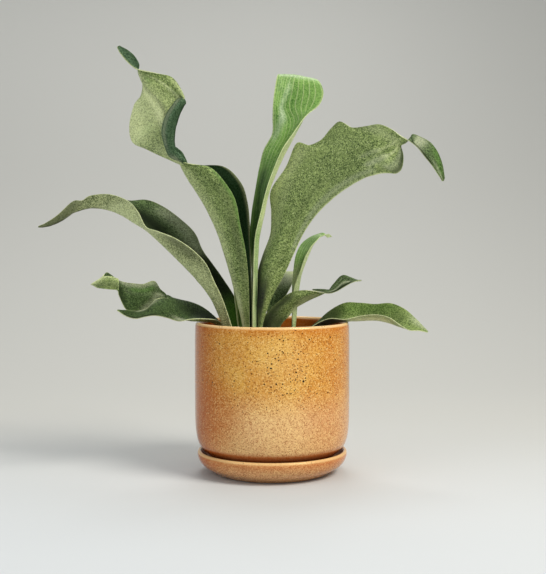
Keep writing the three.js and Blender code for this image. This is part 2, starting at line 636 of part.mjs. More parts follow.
function crown(fronds) {
  const geometry = turned(
    [
      [0, 0],
      [0.98, 0],
      [1, 0.1],
      [1, 0.5],
      [0.94, 0.72],
      [0.8, 0.86],
      [0.6, 0.94],
      [0.36, 0.98],
      [0, 1],
    ],
    28,
  );
  geometry.scale(CROWN.long, CROWN.wide, CROWN.high - CROWN.low);
  geometry.translate(CROWN.x, CROWN.y, CROWN.low);
  const position = geometry.getAttribute("position");
  for (let i = 0; i < position.count; i++) {
    const x = position.getX(i);
    const y = position.getY(i);
    const z = position.getZ(i);
    const lift = z > CROWN.low + 5.5 ? 0.7 * Math.sin(x * 1.1 + y * 0.6) * Math.sin(y * 0.9 - x * 0.5) : 0;
    position.setZ(i, z + lift);
  }
  let solid = toSolid(geometry);
  for (const { peg: foot } of fronds) {
    const [x, y, radius] = foot;
    const hole = new THREE.CylinderGeometry(radius + GAP, radius + GAP, 20, 12);
    hole.rotateX(Math.PI / 2);
    hole.translate(x, y, PEG_LOW - GAP + 10);
    solid = solid.subtract(toSolid(hole));
  }
  return solid;
}

// The pot, with its rounded lower corner, a recessed foot and one drainage hole.

function pot() {
  const outside = [
    [40, SAUCER_FLOOR + GAP + 1.7],
    [41, SAUCER_FLOOR + GAP],
    [44.4, SAUCER_FLOOR + GAP],
    [45.9, SAUCER_FLOOR + GAP + 1],
    [48, 9.6],
    [52.5, 15.1],
    [57.5, 19.9],
    [60.7, 23.3],
    [62.2, 26],
    [63.5, 30],
    [64.6, 36.5],
    [POT_RADIUS - 0.1, 46.3],
    [POT_RADIUS, 73.3],
    [POT_RADIUS - 0.1, 114.2],
    [64.9, 124.8],
    [64.3, 126.8],
    [63, POT_TOP],
    [61.5, 127.3],
    [60.6, 125.2],
  ];
  const inside = [
    [POT_RADIUS - POT_WALL, 98.3],
    [POT_RADIUS - POT_WALL, 46.3],
    [58.6, 32.3],
    [54, 22.3],
    [47, 15.3],
    [38.2, POT_FLOOR],
    [DRAIN_RADIUS + 0.8, POT_FLOOR],
    [DRAIN_RADIUS, POT_FLOOR - 0.8],
    [DRAIN_RADIUS, SAUCER_FLOOR + GAP + 2.5],
    [DRAIN_RADIUS + 0.8, SAUCER_FLOOR + GAP + 1.7],
  ];
  return turned([...outside, ...inside, outside[0]]);
}

function saucer() {
  return turned([
    [0, 0],
    [SAUCER_FOOT, 0],
    [47.6, 0.5],
    [50.6, 2.2],
    [53.6, 4.1],
    [57.7, 6.4],
    [60.7, 9.4],
    [62.5, 12.8],
    [SAUCER_RADIUS, 16.2],
    [63.1, 18],
    [62.6, 19],
    [61.5, SAUCER_TOP],
    [60.4, 19.2],
    [59.6, 17.4],
    [57, 12.1],
    [53, 7.6],
    [48, 4.8],
    [45, SAUCER_FLOOR],
    [0, SAUCER_FLOOR],
  ]);
}

// The scene graph

function mesh(name, geometry, material) {
  const made = new THREE.Mesh(geometry, material);
  made.name = name;
  return made;
}

const FRONDS = [
  ["frond_tall_left", TALL_LEFT, FELTED],
  ["frond_long_left", LONG_LEFT, FELTED],
  ["frond_low_left", LOW_LEFT, FELTED],
  ["frond_centre", CENTRE, YOUNG],
  ["frond_broad_right", BROAD_RIGHT, FELTED],
  ["frond_small_right", SMALL_RIGHT, YOUNG],
  ["frond_forked_right", FORKED_RIGHT, FELTED],
  ["frond_back", BACK, FELTED],
  ["frond_low_right", LOW_RIGHT, FELTED],
  ["frond_foot_left", FOOT_LEFT, YOUNG],
];

const fern = new THREE.Group();
fern.name = "potted_staghorn_fern";

const ceramics = new THREE.Group();
ceramics.add(mesh("saucer", saucer(), GLAZE));
ceramics.add(mesh("pot", pot(), GLAZE));
fern.add(ceramics);

const plant = new THREE.Group();
plant.add(mesh("potting_mix", toGeometry(pottingMix()), BARK_MIX));
plant.add(mesh("crown", toGeometry(crown(FRONDS.map(([, shape]) => shape))), SCALES));
plant.add(mesh("shield_frond_front", toGeometry(frond(SHIELD_FRONT)), PAPERY));
plant.add(mesh("shield_frond_back", toGeometry(frond(SHIELD_BACK)), PAPERY));
for (const [name, shape, material] of FRONDS)
  plant.add(mesh(name, toGeometry(frond(shape)), material));
fern.add(plant);

export default fern;
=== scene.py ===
import logging
import math
from dataclasses import dataclass, replace
from enum import Enum
from typing import Callable, Optional, Sequence

import bmesh
import bpy
import numpy as np
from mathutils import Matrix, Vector, noise


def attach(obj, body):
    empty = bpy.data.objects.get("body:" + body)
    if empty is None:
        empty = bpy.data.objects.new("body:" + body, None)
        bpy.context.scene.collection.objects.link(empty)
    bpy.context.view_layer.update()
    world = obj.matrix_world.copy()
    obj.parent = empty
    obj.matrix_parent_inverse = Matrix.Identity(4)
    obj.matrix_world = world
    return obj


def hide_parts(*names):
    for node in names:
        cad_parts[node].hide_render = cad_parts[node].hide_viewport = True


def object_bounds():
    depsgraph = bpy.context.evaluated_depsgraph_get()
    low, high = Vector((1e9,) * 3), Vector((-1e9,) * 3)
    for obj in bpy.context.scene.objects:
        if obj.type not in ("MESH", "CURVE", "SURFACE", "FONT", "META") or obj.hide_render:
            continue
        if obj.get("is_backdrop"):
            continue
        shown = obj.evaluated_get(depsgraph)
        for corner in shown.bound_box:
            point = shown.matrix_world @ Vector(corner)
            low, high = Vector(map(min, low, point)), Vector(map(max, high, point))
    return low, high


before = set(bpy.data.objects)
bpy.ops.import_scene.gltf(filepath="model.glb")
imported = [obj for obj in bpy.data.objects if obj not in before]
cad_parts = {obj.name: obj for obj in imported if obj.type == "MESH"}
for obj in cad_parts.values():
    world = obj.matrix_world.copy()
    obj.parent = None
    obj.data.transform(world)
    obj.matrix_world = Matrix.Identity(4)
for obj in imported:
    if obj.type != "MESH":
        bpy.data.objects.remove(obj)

log = logging.getLogger("staghorn_fern")

Point = tuple[float, float, float]
Row = tuple[Point, ...]
Corner = tuple[float, float]  # radius and height
Colour = tuple[float, float, float, float]
Coat = tuple[bpy.types.NodeSocket, float, float, float, str]

# Sizes, in millimetres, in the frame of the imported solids

MM = 0.001
EYE = np.array([0.7, -940.0, 203.0])  # the viewpoint of the fronds, above the level of their rows
ROW_LEVEL = np.array([0.0, 0.0, -1.7])  # that level's place
EYE_PITCH = 2.72  # degrees below level
LENS, SENSOR = 70.0, 36.0

GAP = 0.3
POT_RADIUS = 65.3
POT_TOP = 127.9
POT_WALL = 4.8
POT_FLOOR = 12.3
DRAIN_RADIUS = 6.0
SAUCER_RADIUS = 63.3
SAUCER_TOP = 19.6
SAUCER_FLOOR = 4.2
SAUCER_FOOT = 46.0
MIX_TOP = 104.8
CROWN_X, CROWN_Y = -6.5, -2.0
CROWN_LONG, CROWN_WIDE = 31.0, 20.0
CROWN_LOW, CROWN_HIGH = 97.3, 106.8
FOOT_LOW, FOOT_HIGH = 99.8, 108.8
BLADE = 0.8
STALK = 1.3

CORNER_REACH = 0.48  # how far a corner is rounded, as a share of its shorter side
CORNER_STEPS = 4
COARSE, COARSE_SHARE = 2.1, 0.16  # size and share of the larger cells of a grain


class Face(Enum):
    """The side of a frond that an accent is painted on."""

    UPPER = "upper"
    UNDER = "under"
    BOTH = "both"


class Tone(Enum):
    """What an accent does to the skin of a frond. The values are the names of mesh attributes."""

    # Pale strokes also paint light, deep ones shade and silver ones sheen, besides the blade's marks.
    PALE_AND_LIGHT = "pale"
    DARK_AND_SHADE = "deep"
    GREEN = "green"
    SILVER_AND_SHEEN = "silver"


def to_linear(colour: str) -> Colour:
    """Turns an sRGB hex colour into the linear colour that the shaders use.

    Args:
        colour: The colour as "#rrggbb".

    Returns:
        Linear red, green, blue and an alpha of 1.
    """
    values = (int(colour[i : i + 2], 16) / 255 for i in (1, 3, 5))
    r, g, b = (v / 12.92 if v <= 0.04045 else ((v + 0.055) / 1.055) ** 2.4 for v in values)
    return (r, g, b, 1.0)


def add_node(
    tree: bpy.types.NodeTree, kind: str, inputs: Optional[dict] = None, **settings: object
) -> bpy.types.Node:
    """Adds a node with its settings, values and links.

    Args:
        tree: The tree that gets the node.
        kind: The node's type name.
        inputs: Input name or index to a value, or to the socket that is linked to it.
        settings: The node's own properties.

    Returns:
        The new node.
    """
    node = tree.nodes.new(kind)
    for name, value in settings.items():
        setattr(node, name, value)
    for key, value in (inputs or {}).items():
        if isinstance(value, bpy.types.NodeSocket):
            tree.links.new(value, node.inputs[key])
        else:
            node.inputs[key].default_value = value
    return node


def new_material(
    name: str, colour: str, surface: dict
) -> tuple[bpy.types.Material, bpy.types.NodeTree, bpy.types.Node]:
    """Makes a material with only its shader and output.

    Args:
        name: The material's name.
        colour: The plain colour shown in the viewport.
        surface: Values for the shader's own sockets, by name.

    Returns:
        The material, its node tree and the shader.
    """
    material = bpy.data.materials.new(name)
    material.use_nodes = True
    material.diffuse_color = to_linear(colour)
    tree = material.node_tree
    tree.nodes.clear()
    shader = add_node(tree, "ShaderNodeBsdfPrincipled", surface)
    add_node(tree, "ShaderNodeOutputMaterial", {"Surface": shader.outputs["BSDF"]})
    return material, tree, shader


def lay_coats(
    tree: bpy.types.NodeTree, ground: bpy.types.NodeSocket | Colour, coats: Sequence[Coat]
) -> bpy.types.NodeSocket:
    """Lays coats of colour over a ground, one after the other.

    Args:
        tree: The material's tree.
        ground: The colour below.
        coats: For each coat, the value that drives it, the values at which it begins and is full,
            its largest share, and its sRGB colour.

    Returns:
        The colour of the last coat.
    """
    for value, start, full, share, colour in coats:
        weight = add_node(
            tree, "ShaderNodeMapRange",
            {"Value": value, "From Min": start, "From Max": full, "To Max": share},
            interpolation_type="SMOOTHSTEP",
        )
        mix = add_node(
            tree, "ShaderNodeMix", {0: weight.outputs[0], 6: ground, 7: to_linear(colour)}, data_type="RGBA"
        )
        ground = mix.outputs[2]
    return ground


def peppered(tree: bpy.types.NodeTree, place: bpy.types.NodeSocket, size: float) -> bpy.types.NodeSocket:
    """A grain of small cells, each with its own random value from 0 to 1, over a few larger ones.

    Args:
        tree: The material's tree.
        place: The coordinates.
        size: The size of a small cell, in millimetres.

    Returns:
        The value.
    """
    values = []
    for across in (size, COARSE * size):
        cells = add_node(tree, "ShaderNodeTexVoronoi", {"Vector": place, "Scale": 1 / (across * MM)})
        chance = add_node(tree, "ShaderNodeSeparateColor", {0: cells.outputs["Color"]})
        values.append(chance.outputs[0])
    mix = add_node(tree, "ShaderNodeMix", {0: COARSE_SHARE, 2: values[0], 3: values[1]}, data_type="FLOAT")
    return mix.outputs[0]


def shown(name: str, data: bpy.types.ID) -> bpy.types.Object:
    """Makes an object and links it to the scene, at the origin.

    Args:
        name: The object's name.
        data: Its mesh, light or camera.

    Returns:
        The object.
    """
    made = bpy.data.objects.new(name, data)
    bpy.context.scene.collection.objects.link(made)
    return made


def make_piece(name: str, points: np.ndarray, faces: Sequence[Sequence[int]]) -> bpy.types.Object:
    """Makes a smooth-shaded mesh object at the origin.

    Args:
        name: The object's name.
        points: One row of x, y, z in millimetres for each vertex.
        faces: Vertex numbers of each face.

    Returns:
        The object, linked to the scene.
    """
    mesh = bpy.data.meshes.new(name)
    mesh.from_pydata((np.asarray(points) * MM).tolist(), [], [list(f) for f in faces])
    mesh.update()
    mesh.shade_smooth()
    return shown(name, mesh)


def settle(piece: bpy.types.Object, slot: str, *nodes: str) -> None:
    """Lets a finished piece ride on the one body and stands it for its CAD nodes.

    Args:
        piece: The finished piece.
        slot: The name of a material slot. Not used.
        nodes: The CAD nodes that it replaces, if any.
    """
    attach(piece, "root")
    if nodes:
        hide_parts(*nodes)
    log.info("%s: %d faces", piece.name, len(piece.data.polygons))


def along(stops: np.ndarray, at: float) -> np.ndarray:
    """A point, or a whole line of points, on the smooth curve through evenly numbered stops.

    Args:
        stops: The stops, in their first axis.
        at: The place, counted in stops.

    Returns:
        The value there.
    """
    last = len(stops) - 1
    i = min(int(at), last - 1)
    t = at - i
    start, end = stops[i], stops[i + 1]
    before = stops[i - 1] if i > 0 else 2 * start - end
    after = stops[i + 2] if i + 2 <= last else 2 * end - start
    square = 2 * before - 5 * start + 4 * end - after
    cubic = 3 * start - before - 3 * end + after
    return 0.5 * (2 * start + (end - before) * t + square * t * t + cubic * t**3)


def smooth_step(value: float) -> float:
    """Goes smoothly from 0 to 1 while value does."""
    t = min(max(value, 0.0), 1.0)
    return t * t * (3 - 2 * t)


# Ceramics


def rounded_profile(corners: Sequence[Corner], closed: bool) -> list[Corner]:
    """Rounds each corner of a profile.

    Args:
        corners: The corners, in order.
        closed: Whether the profile is a closed ring. An open one keeps its two ends.

    Returns:
        The finer profile.
    """
    made: list[Corner] = []
    count = len(corners)
    for i, here in enumerate(corners):
        if not closed and i in (0, count - 1):
            made.append(here)
            continue
        p = np.array(here)
        a = np.array(corners[i - 1]) - p
        b = np.array(corners[(i + 1) % count]) - p
        reach = CORNER_REACH * min(np.linalg.norm(a), np.linalg.norm(b))
        start = p + a / np.linalg.norm(a) * reach
        end = p + b / np.linalg.norm(b) * reach
        for k in range(CORNER_STEPS + 1):
            t = k / CORNER_STEPS
            q = (1 - t) ** 2 * start + 2 * t * (1 - t) * p + t * t * end
            made.append((float(q[0]), float(q[1])))
    return made


def turned_piece(name: str, profile: Sequence[Corner], closed: bool, sides: int) -> bpy.types.Object:
    """Turns a profile about the Z axis into a closed body.

    Args:
        name: The piece's name.
        profile: Its corners, from the axis below to the axis above, or round a closed section.
        closed: Whether the profile is a closed ring.
        sides: Steps round the axis.

    Returns:
        The piece.
    """
    mesh = bmesh.new()
    angles = [2 * math.pi * k / sides for k in range(sides)]
    rings: list[list[bmesh.types.BMVert]] = []
    for r, z in profile:
        if r == 0:
            rings.append([mesh.verts.new((0.0, 0.0, z * MM))])
            continue
        rings.append([mesh.verts.new((r * math.cos(a) * MM, r * math.sin(a) * MM, z * MM)) for a in angles])
    for low, high in zip(rings, rings[1:] + rings[:1] if closed else rings[1:]):
        for k in range(sides):
            j = (k + 1) % sides
            if len(low) == 1:
                mesh.faces.new((low[0], high[j], high[k]))
            elif len(high) == 1:
                mesh.faces.new((low[k], low[j], high[0]))
            else:
                mesh.faces.new((low[k], low[j], high[j], high[k]))
    bmesh.ops.recalc_face_normals(mesh, faces=mesh.faces)
    data = bpy.data.meshes.new(name)
    mesh.to_mesh(data)
    mesh.free()
    data.shade_smooth()
    return shown(name, data)


@dataclass(frozen=True)
class HoneyGlaze:
    """Glossy iron-amber glaze over speckled stoneware, dipped and fired.

    The eye sees a glassy skin with soft reflections, a sharp sandy mottle of straw, orange and
    brown where the clay's grain breaks through, dark iron specks, a paler line where the glaze runs
    thin on the lip, which also paints the lip's highlight, and a browner one where it pools under
    the lip. Painted shade darkens the left side, a band at the foot and the inner wall, and a straw
    patch on the front is partly a painted sheen.
    """

    name: str
    top: float  # height of the lip, in millimetres
    foot_shade: float  # height of the browner band at the foot, painted shade where the body curves under
    inside: float = 0.0  # radius of the inner wall, painted darker brown as shade
    honey: str = "#dda84c"
    amber: str = "#b95c02"
    clay: str = "#e4be92"
    brown: str = "#8a4206"
    straw: str = "#fde09a"
    # The dark brown of the painted shade on the left edge and on the inner wall.
    shade_brown: str = "#963c00"
    iron: str = "#140801"
    # The pale colour of the thin glaze on the lip, which also paints the lip's highlight.
    edge: str = "#fbe2aa"
    glint: str = "#ffd6a4"
    grain: float = 0.65  # millimetres, drawn coarser than the real grain so that it shows
    # Spacing of the bold, the small and the fine specks, and the share of the spots left without one.
    specks: tuple[tuple[float, float], ...] = ((5.2, 0.88), (3.0, 0.82), (2.1, 0.72))
    speck_rise: float = 0.14  # how soon the luckier spots get larger specks
    speck_size: float = 0.21  # radius of the largest, as a share of the spacing
    speck_edge: float = 0.02
    rusty: Point = (10.0, -64.0, 92.0)  # middle of a patch with more iron
    straw_and_sheen: Point = (10.0, -64.0, 100.0)  # middle of a straw patch: glaze tone and painted sheen
    left_shade_patch: Point = (-48.0, -44.0, 58.0)  # middle of a darker amber patch, painted shade on the left

    def material(self) -> bpy.types.Material:
        """Builds the glaze.

        Returns:
            The material.
        """
        material, tree, shader = new_material(self.name, self.honey, {
            "IOR": 1.5, "Specular IOR Level": 0.42, "Specular Tint": to_linear(self.glint),
            "Coat Weight": 0.06, "Coat Roughness": 0.06,
        })
        place = add_node(tree, "ShaderNodeTexCoord").outputs["Object"]
        parts = add_node(tree, "ShaderNodeSeparateXYZ", {0: place})
        side, height = parts.outputs["X"], parts.outputs["Z"]
        cloud = add_node(tree, "ShaderNodeTexNoise", {"Vector": place, "Scale": 30.0, "Detail": 4.0})
        sand = peppered(tree, place, self.grain)
        top, foot_shade, inside = self.top * MM, self.foot_shade * MM, self.inside * MM
        level = add_node(tree, "ShaderNodeVectorMath", {0: place, 1: (1.0, 1.0, 0.0)}, operation="MULTIPLY")
        from_axis = add_node(tree, "ShaderNodeVectorMath", {0: level.outputs[0]}, operation="LENGTH")
        rust, straw_and_sheen_gap, left_shade_gap = (
            add_node(
                tree, "ShaderNodeVectorMath", {0: place, 1: [v * MM for v in middle]}, operation="DISTANCE"
            ).outputs["Value"]
            for middle in (self.rusty, self.straw_and_sheen, self.left_shade_patch)
        )
        body = lay_coats(tree, to_linear(self.honey), (
            (cloud.outputs[0], 0.56, 0.36, 0.3, self.amber),
            # A straw haze on the front: the glaze's tone and a painted sheen.
            (straw_and_sheen_gap, 0.035, 0.010, 0.12, self.straw),
            (height, 0.082, 0.050, 0.6, self.clay),
            # Painted shade: the left side darker and more amber, away from the light.
            (side, -0.026, -0.060, 0.72, self.amber),
            (side, 0.014, 0.050, 0.40, self.amber),
            # Painted shade: a darker amber patch low on the front left.
            (left_shade_gap, 0.044, 0.012, 0.6, self.amber),
            (sand, 0.46, 0.06, 0.7, self.brown),
            (sand, 0.6, 0.96, 0.5, self.straw),
            # Painted shade: the left edge darker still.
            (side, -0.040, -0.064, 0.5, self.shade_brown),
            (height, top - 0.010, top - 0.002, 0.4, self.amber),
            # Painted shade: a browner band where the body curves under at the foot.
            (height, foot_shade + 0.004, foot_shade - 0.004, 0.2, self.amber),
            # Painted shade: darker brown on the inner wall.
            (from_axis.outputs["Value"], inside + 0.0022, inside, 0.8, self.shade_brown),
            # The thin glaze on the lip, paler, which also paints its highlight.
            (height, top - 0.0028, top - 0.0012, 0.55, self.edge),
        ))
        # Iron specks, crowded in the rusty patch and sparse on the lower half.
        crowd = add_node(
            tree, "ShaderNodeMapRange", {"Value": rust, "From Min": 0.030, "From Max": 0.012, "To Max": 0.34}
        )
        sparse = add_node(
            tree, "ShaderNodeMapRange",
            {"Value": height, "From Min": 0.045, "From Max": 0.078, "To Min": -0.16, "To Max": 0.0},
        )
        luck = add_node(tree, "ShaderNodeMath", {0: crowd.outputs[0], 1: sparse.outputs[0]})
        for spacing, bare in self.specks:
            cells = add_node(tree, "ShaderNodeTexVoronoi", {"Vector": place, "Scale": 1 / (spacing * MM)})
            chance = add_node(tree, "ShaderNodeSeparateColor", {0: cells.outputs["Color"]})
            lucky = add_node(tree, "ShaderNodeMath", {0: chance.outputs[0], 1: luck.outputs[0]})
            reach = add_node(
                tree, "ShaderNodeMapRange",
                {"Value": lucky.outputs[0], "From Min": bare, "From Max": bare + self.speck_rise,
                 "To Max": self.speck_size},
            )
            dot = add_node(
                tree, "ShaderNodeMath", {0: reach.outputs[0], 1: cells.outputs["Distance"]},
                operation="SUBTRACT",
            )
            body = lay_coats(
                tree, body, ((dot.outputs[0], -self.speck_edge, self.speck_edge, 1.0, self.iron),)
            )
        tree.links.new(body, shader.inputs["Base Color"])
        rough = add_node(tree, "ShaderNodeMapRange", {"Value": sand, "To Min": 0.08, "To Max": 0.22})
        tree.links.new(rough.outputs[0], shader.inputs["Roughness"])
        skin = add_node(tree, "ShaderNodeTexNoise", {"Vector": place, "Scale": 260.0, "Detail": 2.0})
        bump = add_node(
            tree, "ShaderNodeBump", {"Strength": 0.12, "Distance": 0.0004, "Height": skin.outputs[0]}
        )
        tree.links.new(bump.outputs[0], shader.inputs["Normal"])
        return material


@dataclass
class Saucer:
    """The round dish under the pot."""

    radius: float = SAUCER_RADIUS
    foot: float = SAUCER_FOOT
    floor: float = SAUCER_FLOOR
    top: float = SAUCER_TOP
    sides: int = 192
    # Its band at 1.5 mm is painted shade under the dish.
    glaze: HoneyGlaze = HoneyGlaze(
        # Its pale lip colour also paints the lip's highlight.
        "saucer_honey_glaze", SAUCER_TOP, 1.5, honey="#d8a464", clay="#d29c72", edge="#f6d796"
    )

    def build(self) -> None:
        """Turns the dish and dresses it."""
        corners = (
            (0, 0), (self.foot, 0), (47.6, 0.5), (50.6, 2.2), (53.6, 4.1), (57.7, 6.4), (60.7, 9.4),
            (62.5, 12.8), (self.radius, 16.2), (63.1, 18), (62.6, 19), (61.5, self.top), (60.4, 19.2),
            (59.6, 17.4), (57, 12.1), (53, 7.6), (48, 4.8), (45, self.floor), (0, self.floor),
        )
        piece = turned_piece("glazed_saucer", rounded_profile(corners, False), False, self.sides)
        piece.data.materials.append(self.glaze.material())
        settle(piece, "glaze_saucer", "saucer")


@dataclass
class Pot:
    """The round planter, with nearly straight sides, a rounded lower corner and a drainage hole."""

    radius: float = POT_RADIUS
    top: float = POT_TOP
    wall: float = POT_WALL
    floor: float = POT_FLOOR
    drain: float = DRAIN_RADIUS
    sides: int = 192
    # Its band at 21 mm is painted shade at the foot, and its inner wall is painted darker as shade.
    glaze: HoneyGlaze = HoneyGlaze("pot_honey_glaze", POT_TOP, 21.0, POT_RADIUS - POT_WALL)

    def build(self) -> None:
        """Turns the pot and dresses it."""
        foot = SAUCER_FLOOR + GAP
        inside = self.radius - self.wall
        corners = (
            (40, foot + 1.7), (41, foot), (44.4, foot), (45.9, foot + 1), (48, 9.6), (52.5, 15.1),
            (57.5, 19.9), (60.7, 23.3), (62.2, 26), (63.5, 30), (64.6, 36.5), (self.radius - 0.1, 46.3),
            (self.radius, 73.3), (self.radius - 0.1, 114.2), (64.9, 124.8), (64.3, 126.8),
            (63, self.top), (61.5, 127.3), (60.6, 125.2), (inside, 98.3), (inside, 46.3),
            (58.6, 32.3), (54, 22.3), (47, 15.3), (38.2, self.floor), (self.drain + 0.8, self.floor),
            (self.drain, self.floor - 0.8), (self.drain, foot + 2.5), (self.drain + 0.8, foot + 1.7),
        )
        piece = turned_piece("glazed_pot", rounded_profile(corners, True), True, self.sides)
        piece.data.materials.append(self.glaze.material())
        settle(piece, "glaze_pot", "pot")


# Bark mix, crown and shields


@dataclass(frozen=True)
class Bark:
    """Composted pine bark, broken and damp: dark, dull and rough, with paler torn edges."""

    name: str
    dark: str = "#24170f"
    light: str = "#5f4429"
    fibre: float = 1.6  # millimetres

    def material(self) -> bpy.types.Material:
        """Builds the bark.

        Returns:
            The material.
        """
        material, tree, shader = new_material(
            self.name, self.dark, {"Roughness": 0.9, "Specular IOR Level": 0.3}
        )
        place = add_node(tree, "ShaderNodeTexCoord").outputs["Object"]
        coarse = add_node(
            tree, "ShaderNodeTexNoise", {"Vector": place, "Scale": 90.0, "Detail": 5.0, "Roughness": 0.65}
        )
        fine = add_node(
            tree, "ShaderNodeTexNoise", {"Vector": place, "Scale": 0.6 / (self.fibre * MM), "Detail": 4.0}
        )
        both = add_node(
            tree, "ShaderNodeMath", {0: coarse.outputs[0], 1: fine.outputs[0]}, operation="MULTIPLY"
        )
        share = add_node(
            tree, "ShaderNodeMapRange", {"Value": both.outputs[0], "From Min": 0.15, "From Max": 0.38}
        )
        colour = add_node(
            tree, "ShaderNodeMix",
            {0: share.outputs[0], 6: to_linear(self.dark), 7: to_linear(self.light)}, data_type="RGBA",
        )
        tree.links.new(colour.outputs[2], shader.inputs["Base Color"])
        bump = add_node(
            tree, "ShaderNodeBump", {"Strength": 0.7, "Distance": 0.001, "Height": both.outputs[0]}
        )
        tree.links.new(bump.outputs[0], shader.inputs["Normal"])
        return material


def scattered(
    name: str, seat: bpy.types.Object, shape: bpy.types.Object, finish: bpy.types.Material,
    density: float, seed: int, low: float, high: float, tilt: float,
) -> bpy.types.Object:
    """Scatters copies of a small shape over a seat mesh with Geometry Nodes and makes them one mesh.

    Args:
        name: The name of the made piece.
        seat: The mesh that the copies stand on. It is removed.
        shape: The shape that is copied. It is removed.
        finish: The material of the copies.
        density: Copies per square metre.
        seed: The seed of the random draws.
        low: The smallest scale of a copy.
        high: The largest scale of a copy.
        tilt: The largest random lean of a copy, in radians.

    Returns:
        The plain mesh of all copies.
    """
    tree = bpy.data.node_groups.new(name + "_tree", "GeometryNodeTree")
    face = tree.interface
    face.new_socket(name="Seat", in_out="INPUT", socket_type="NodeSocketGeometry")
    values = {
        "Shape": ("Object", shape), "Finish": ("Material", finish), "Density": ("Float", density),
        "Seed": ("Int", seed), "Smallest": ("Float", low), "Largest": ("Float", high),
        "Tilt": ("Float", tilt),
    }
    sockets = {
        label: face.new_socket(name=label, in_out="INPUT", socket_type="NodeSocket" + kind).identifier
        for label, (kind, _) in values.items()
    }
    face.new_socket(name="Copies", in_out="OUTPUT", socket_type="NodeSocketGeometry")
    given = add_node(tree, "NodeGroupInput").outputs
    spread_out = add_node(
        tree, "GeometryNodeDistributePointsOnFaces",
        {"Mesh": given["Seat"], "Density": given["Density"], "Seed": given["Seed"]},
    )
    source = add_node(tree, "GeometryNodeObjectInfo", {"Object": given["Shape"]})
    back = add_node(tree, "ShaderNodeMath", {0: given["Tilt"], 1: -1.0}, operation="MULTIPLY")
    least = add_node(tree, "ShaderNodeCombineXYZ", {0: back.outputs[0], 1: back.outputs[0], 2: -math.pi})
    most = add_node(tree, "ShaderNodeCombineXYZ", {0: given["Tilt"], 1: given["Tilt"], 2: math.pi})
    turn = add_node(
        tree, "FunctionNodeRandomValue", {0: least.outputs[0], 1: most.outputs[0], "Seed": given["Seed"]},
        data_type="FLOAT_VECTOR",
    )
    size = add_node(
        tree, "FunctionNodeRandomValue", {2: given["Smallest"], 3: given["Largest"], "Seed": given["Seed"]}
    )
    lean = add_node(
        tree, "FunctionNodeRotateRotation", {0: spread_out.outputs["Rotation"], 1: turn.outputs[0]},
        rotation_space="LOCAL",
    )
    copies = add_node(
        tree, "GeometryNodeInstanceOnPoints",
        {"Points": spread_out.outputs["Points"], "Instance": source.outputs["Geometry"],
         "Rotation": lean.outputs[0], "Scale": size.outputs[1]},
    )
    solid = add_node(tree, "GeometryNodeRealizeInstances", {0: copies.outputs[0]})
    dressed = add_node(
        tree, "GeometryNodeSetMaterial", {"Geometry": solid.outputs[0], "Material": given["Finish"]}
    )
    add_node(tree, "NodeGroupOutput", {0: dressed.outputs[0]})

    modifier = seat.modifiers.new(name, "NODES")
    modifier.node_group = tree
    for label, (_, value) in values.items():
        modifier[sockets[label]] = value
    bpy.context.view_layer.update()
    evaluated = seat.evaluated_get(bpy.context.evaluated_depsgraph_get())
    data = bpy.data.meshes.new_from_object(evaluated)
    data.name = name
    seat.modifiers.remove(modifier)
    for used in (seat, shape):
        bpy.data.objects.remove(used)
    return shown(name, data)


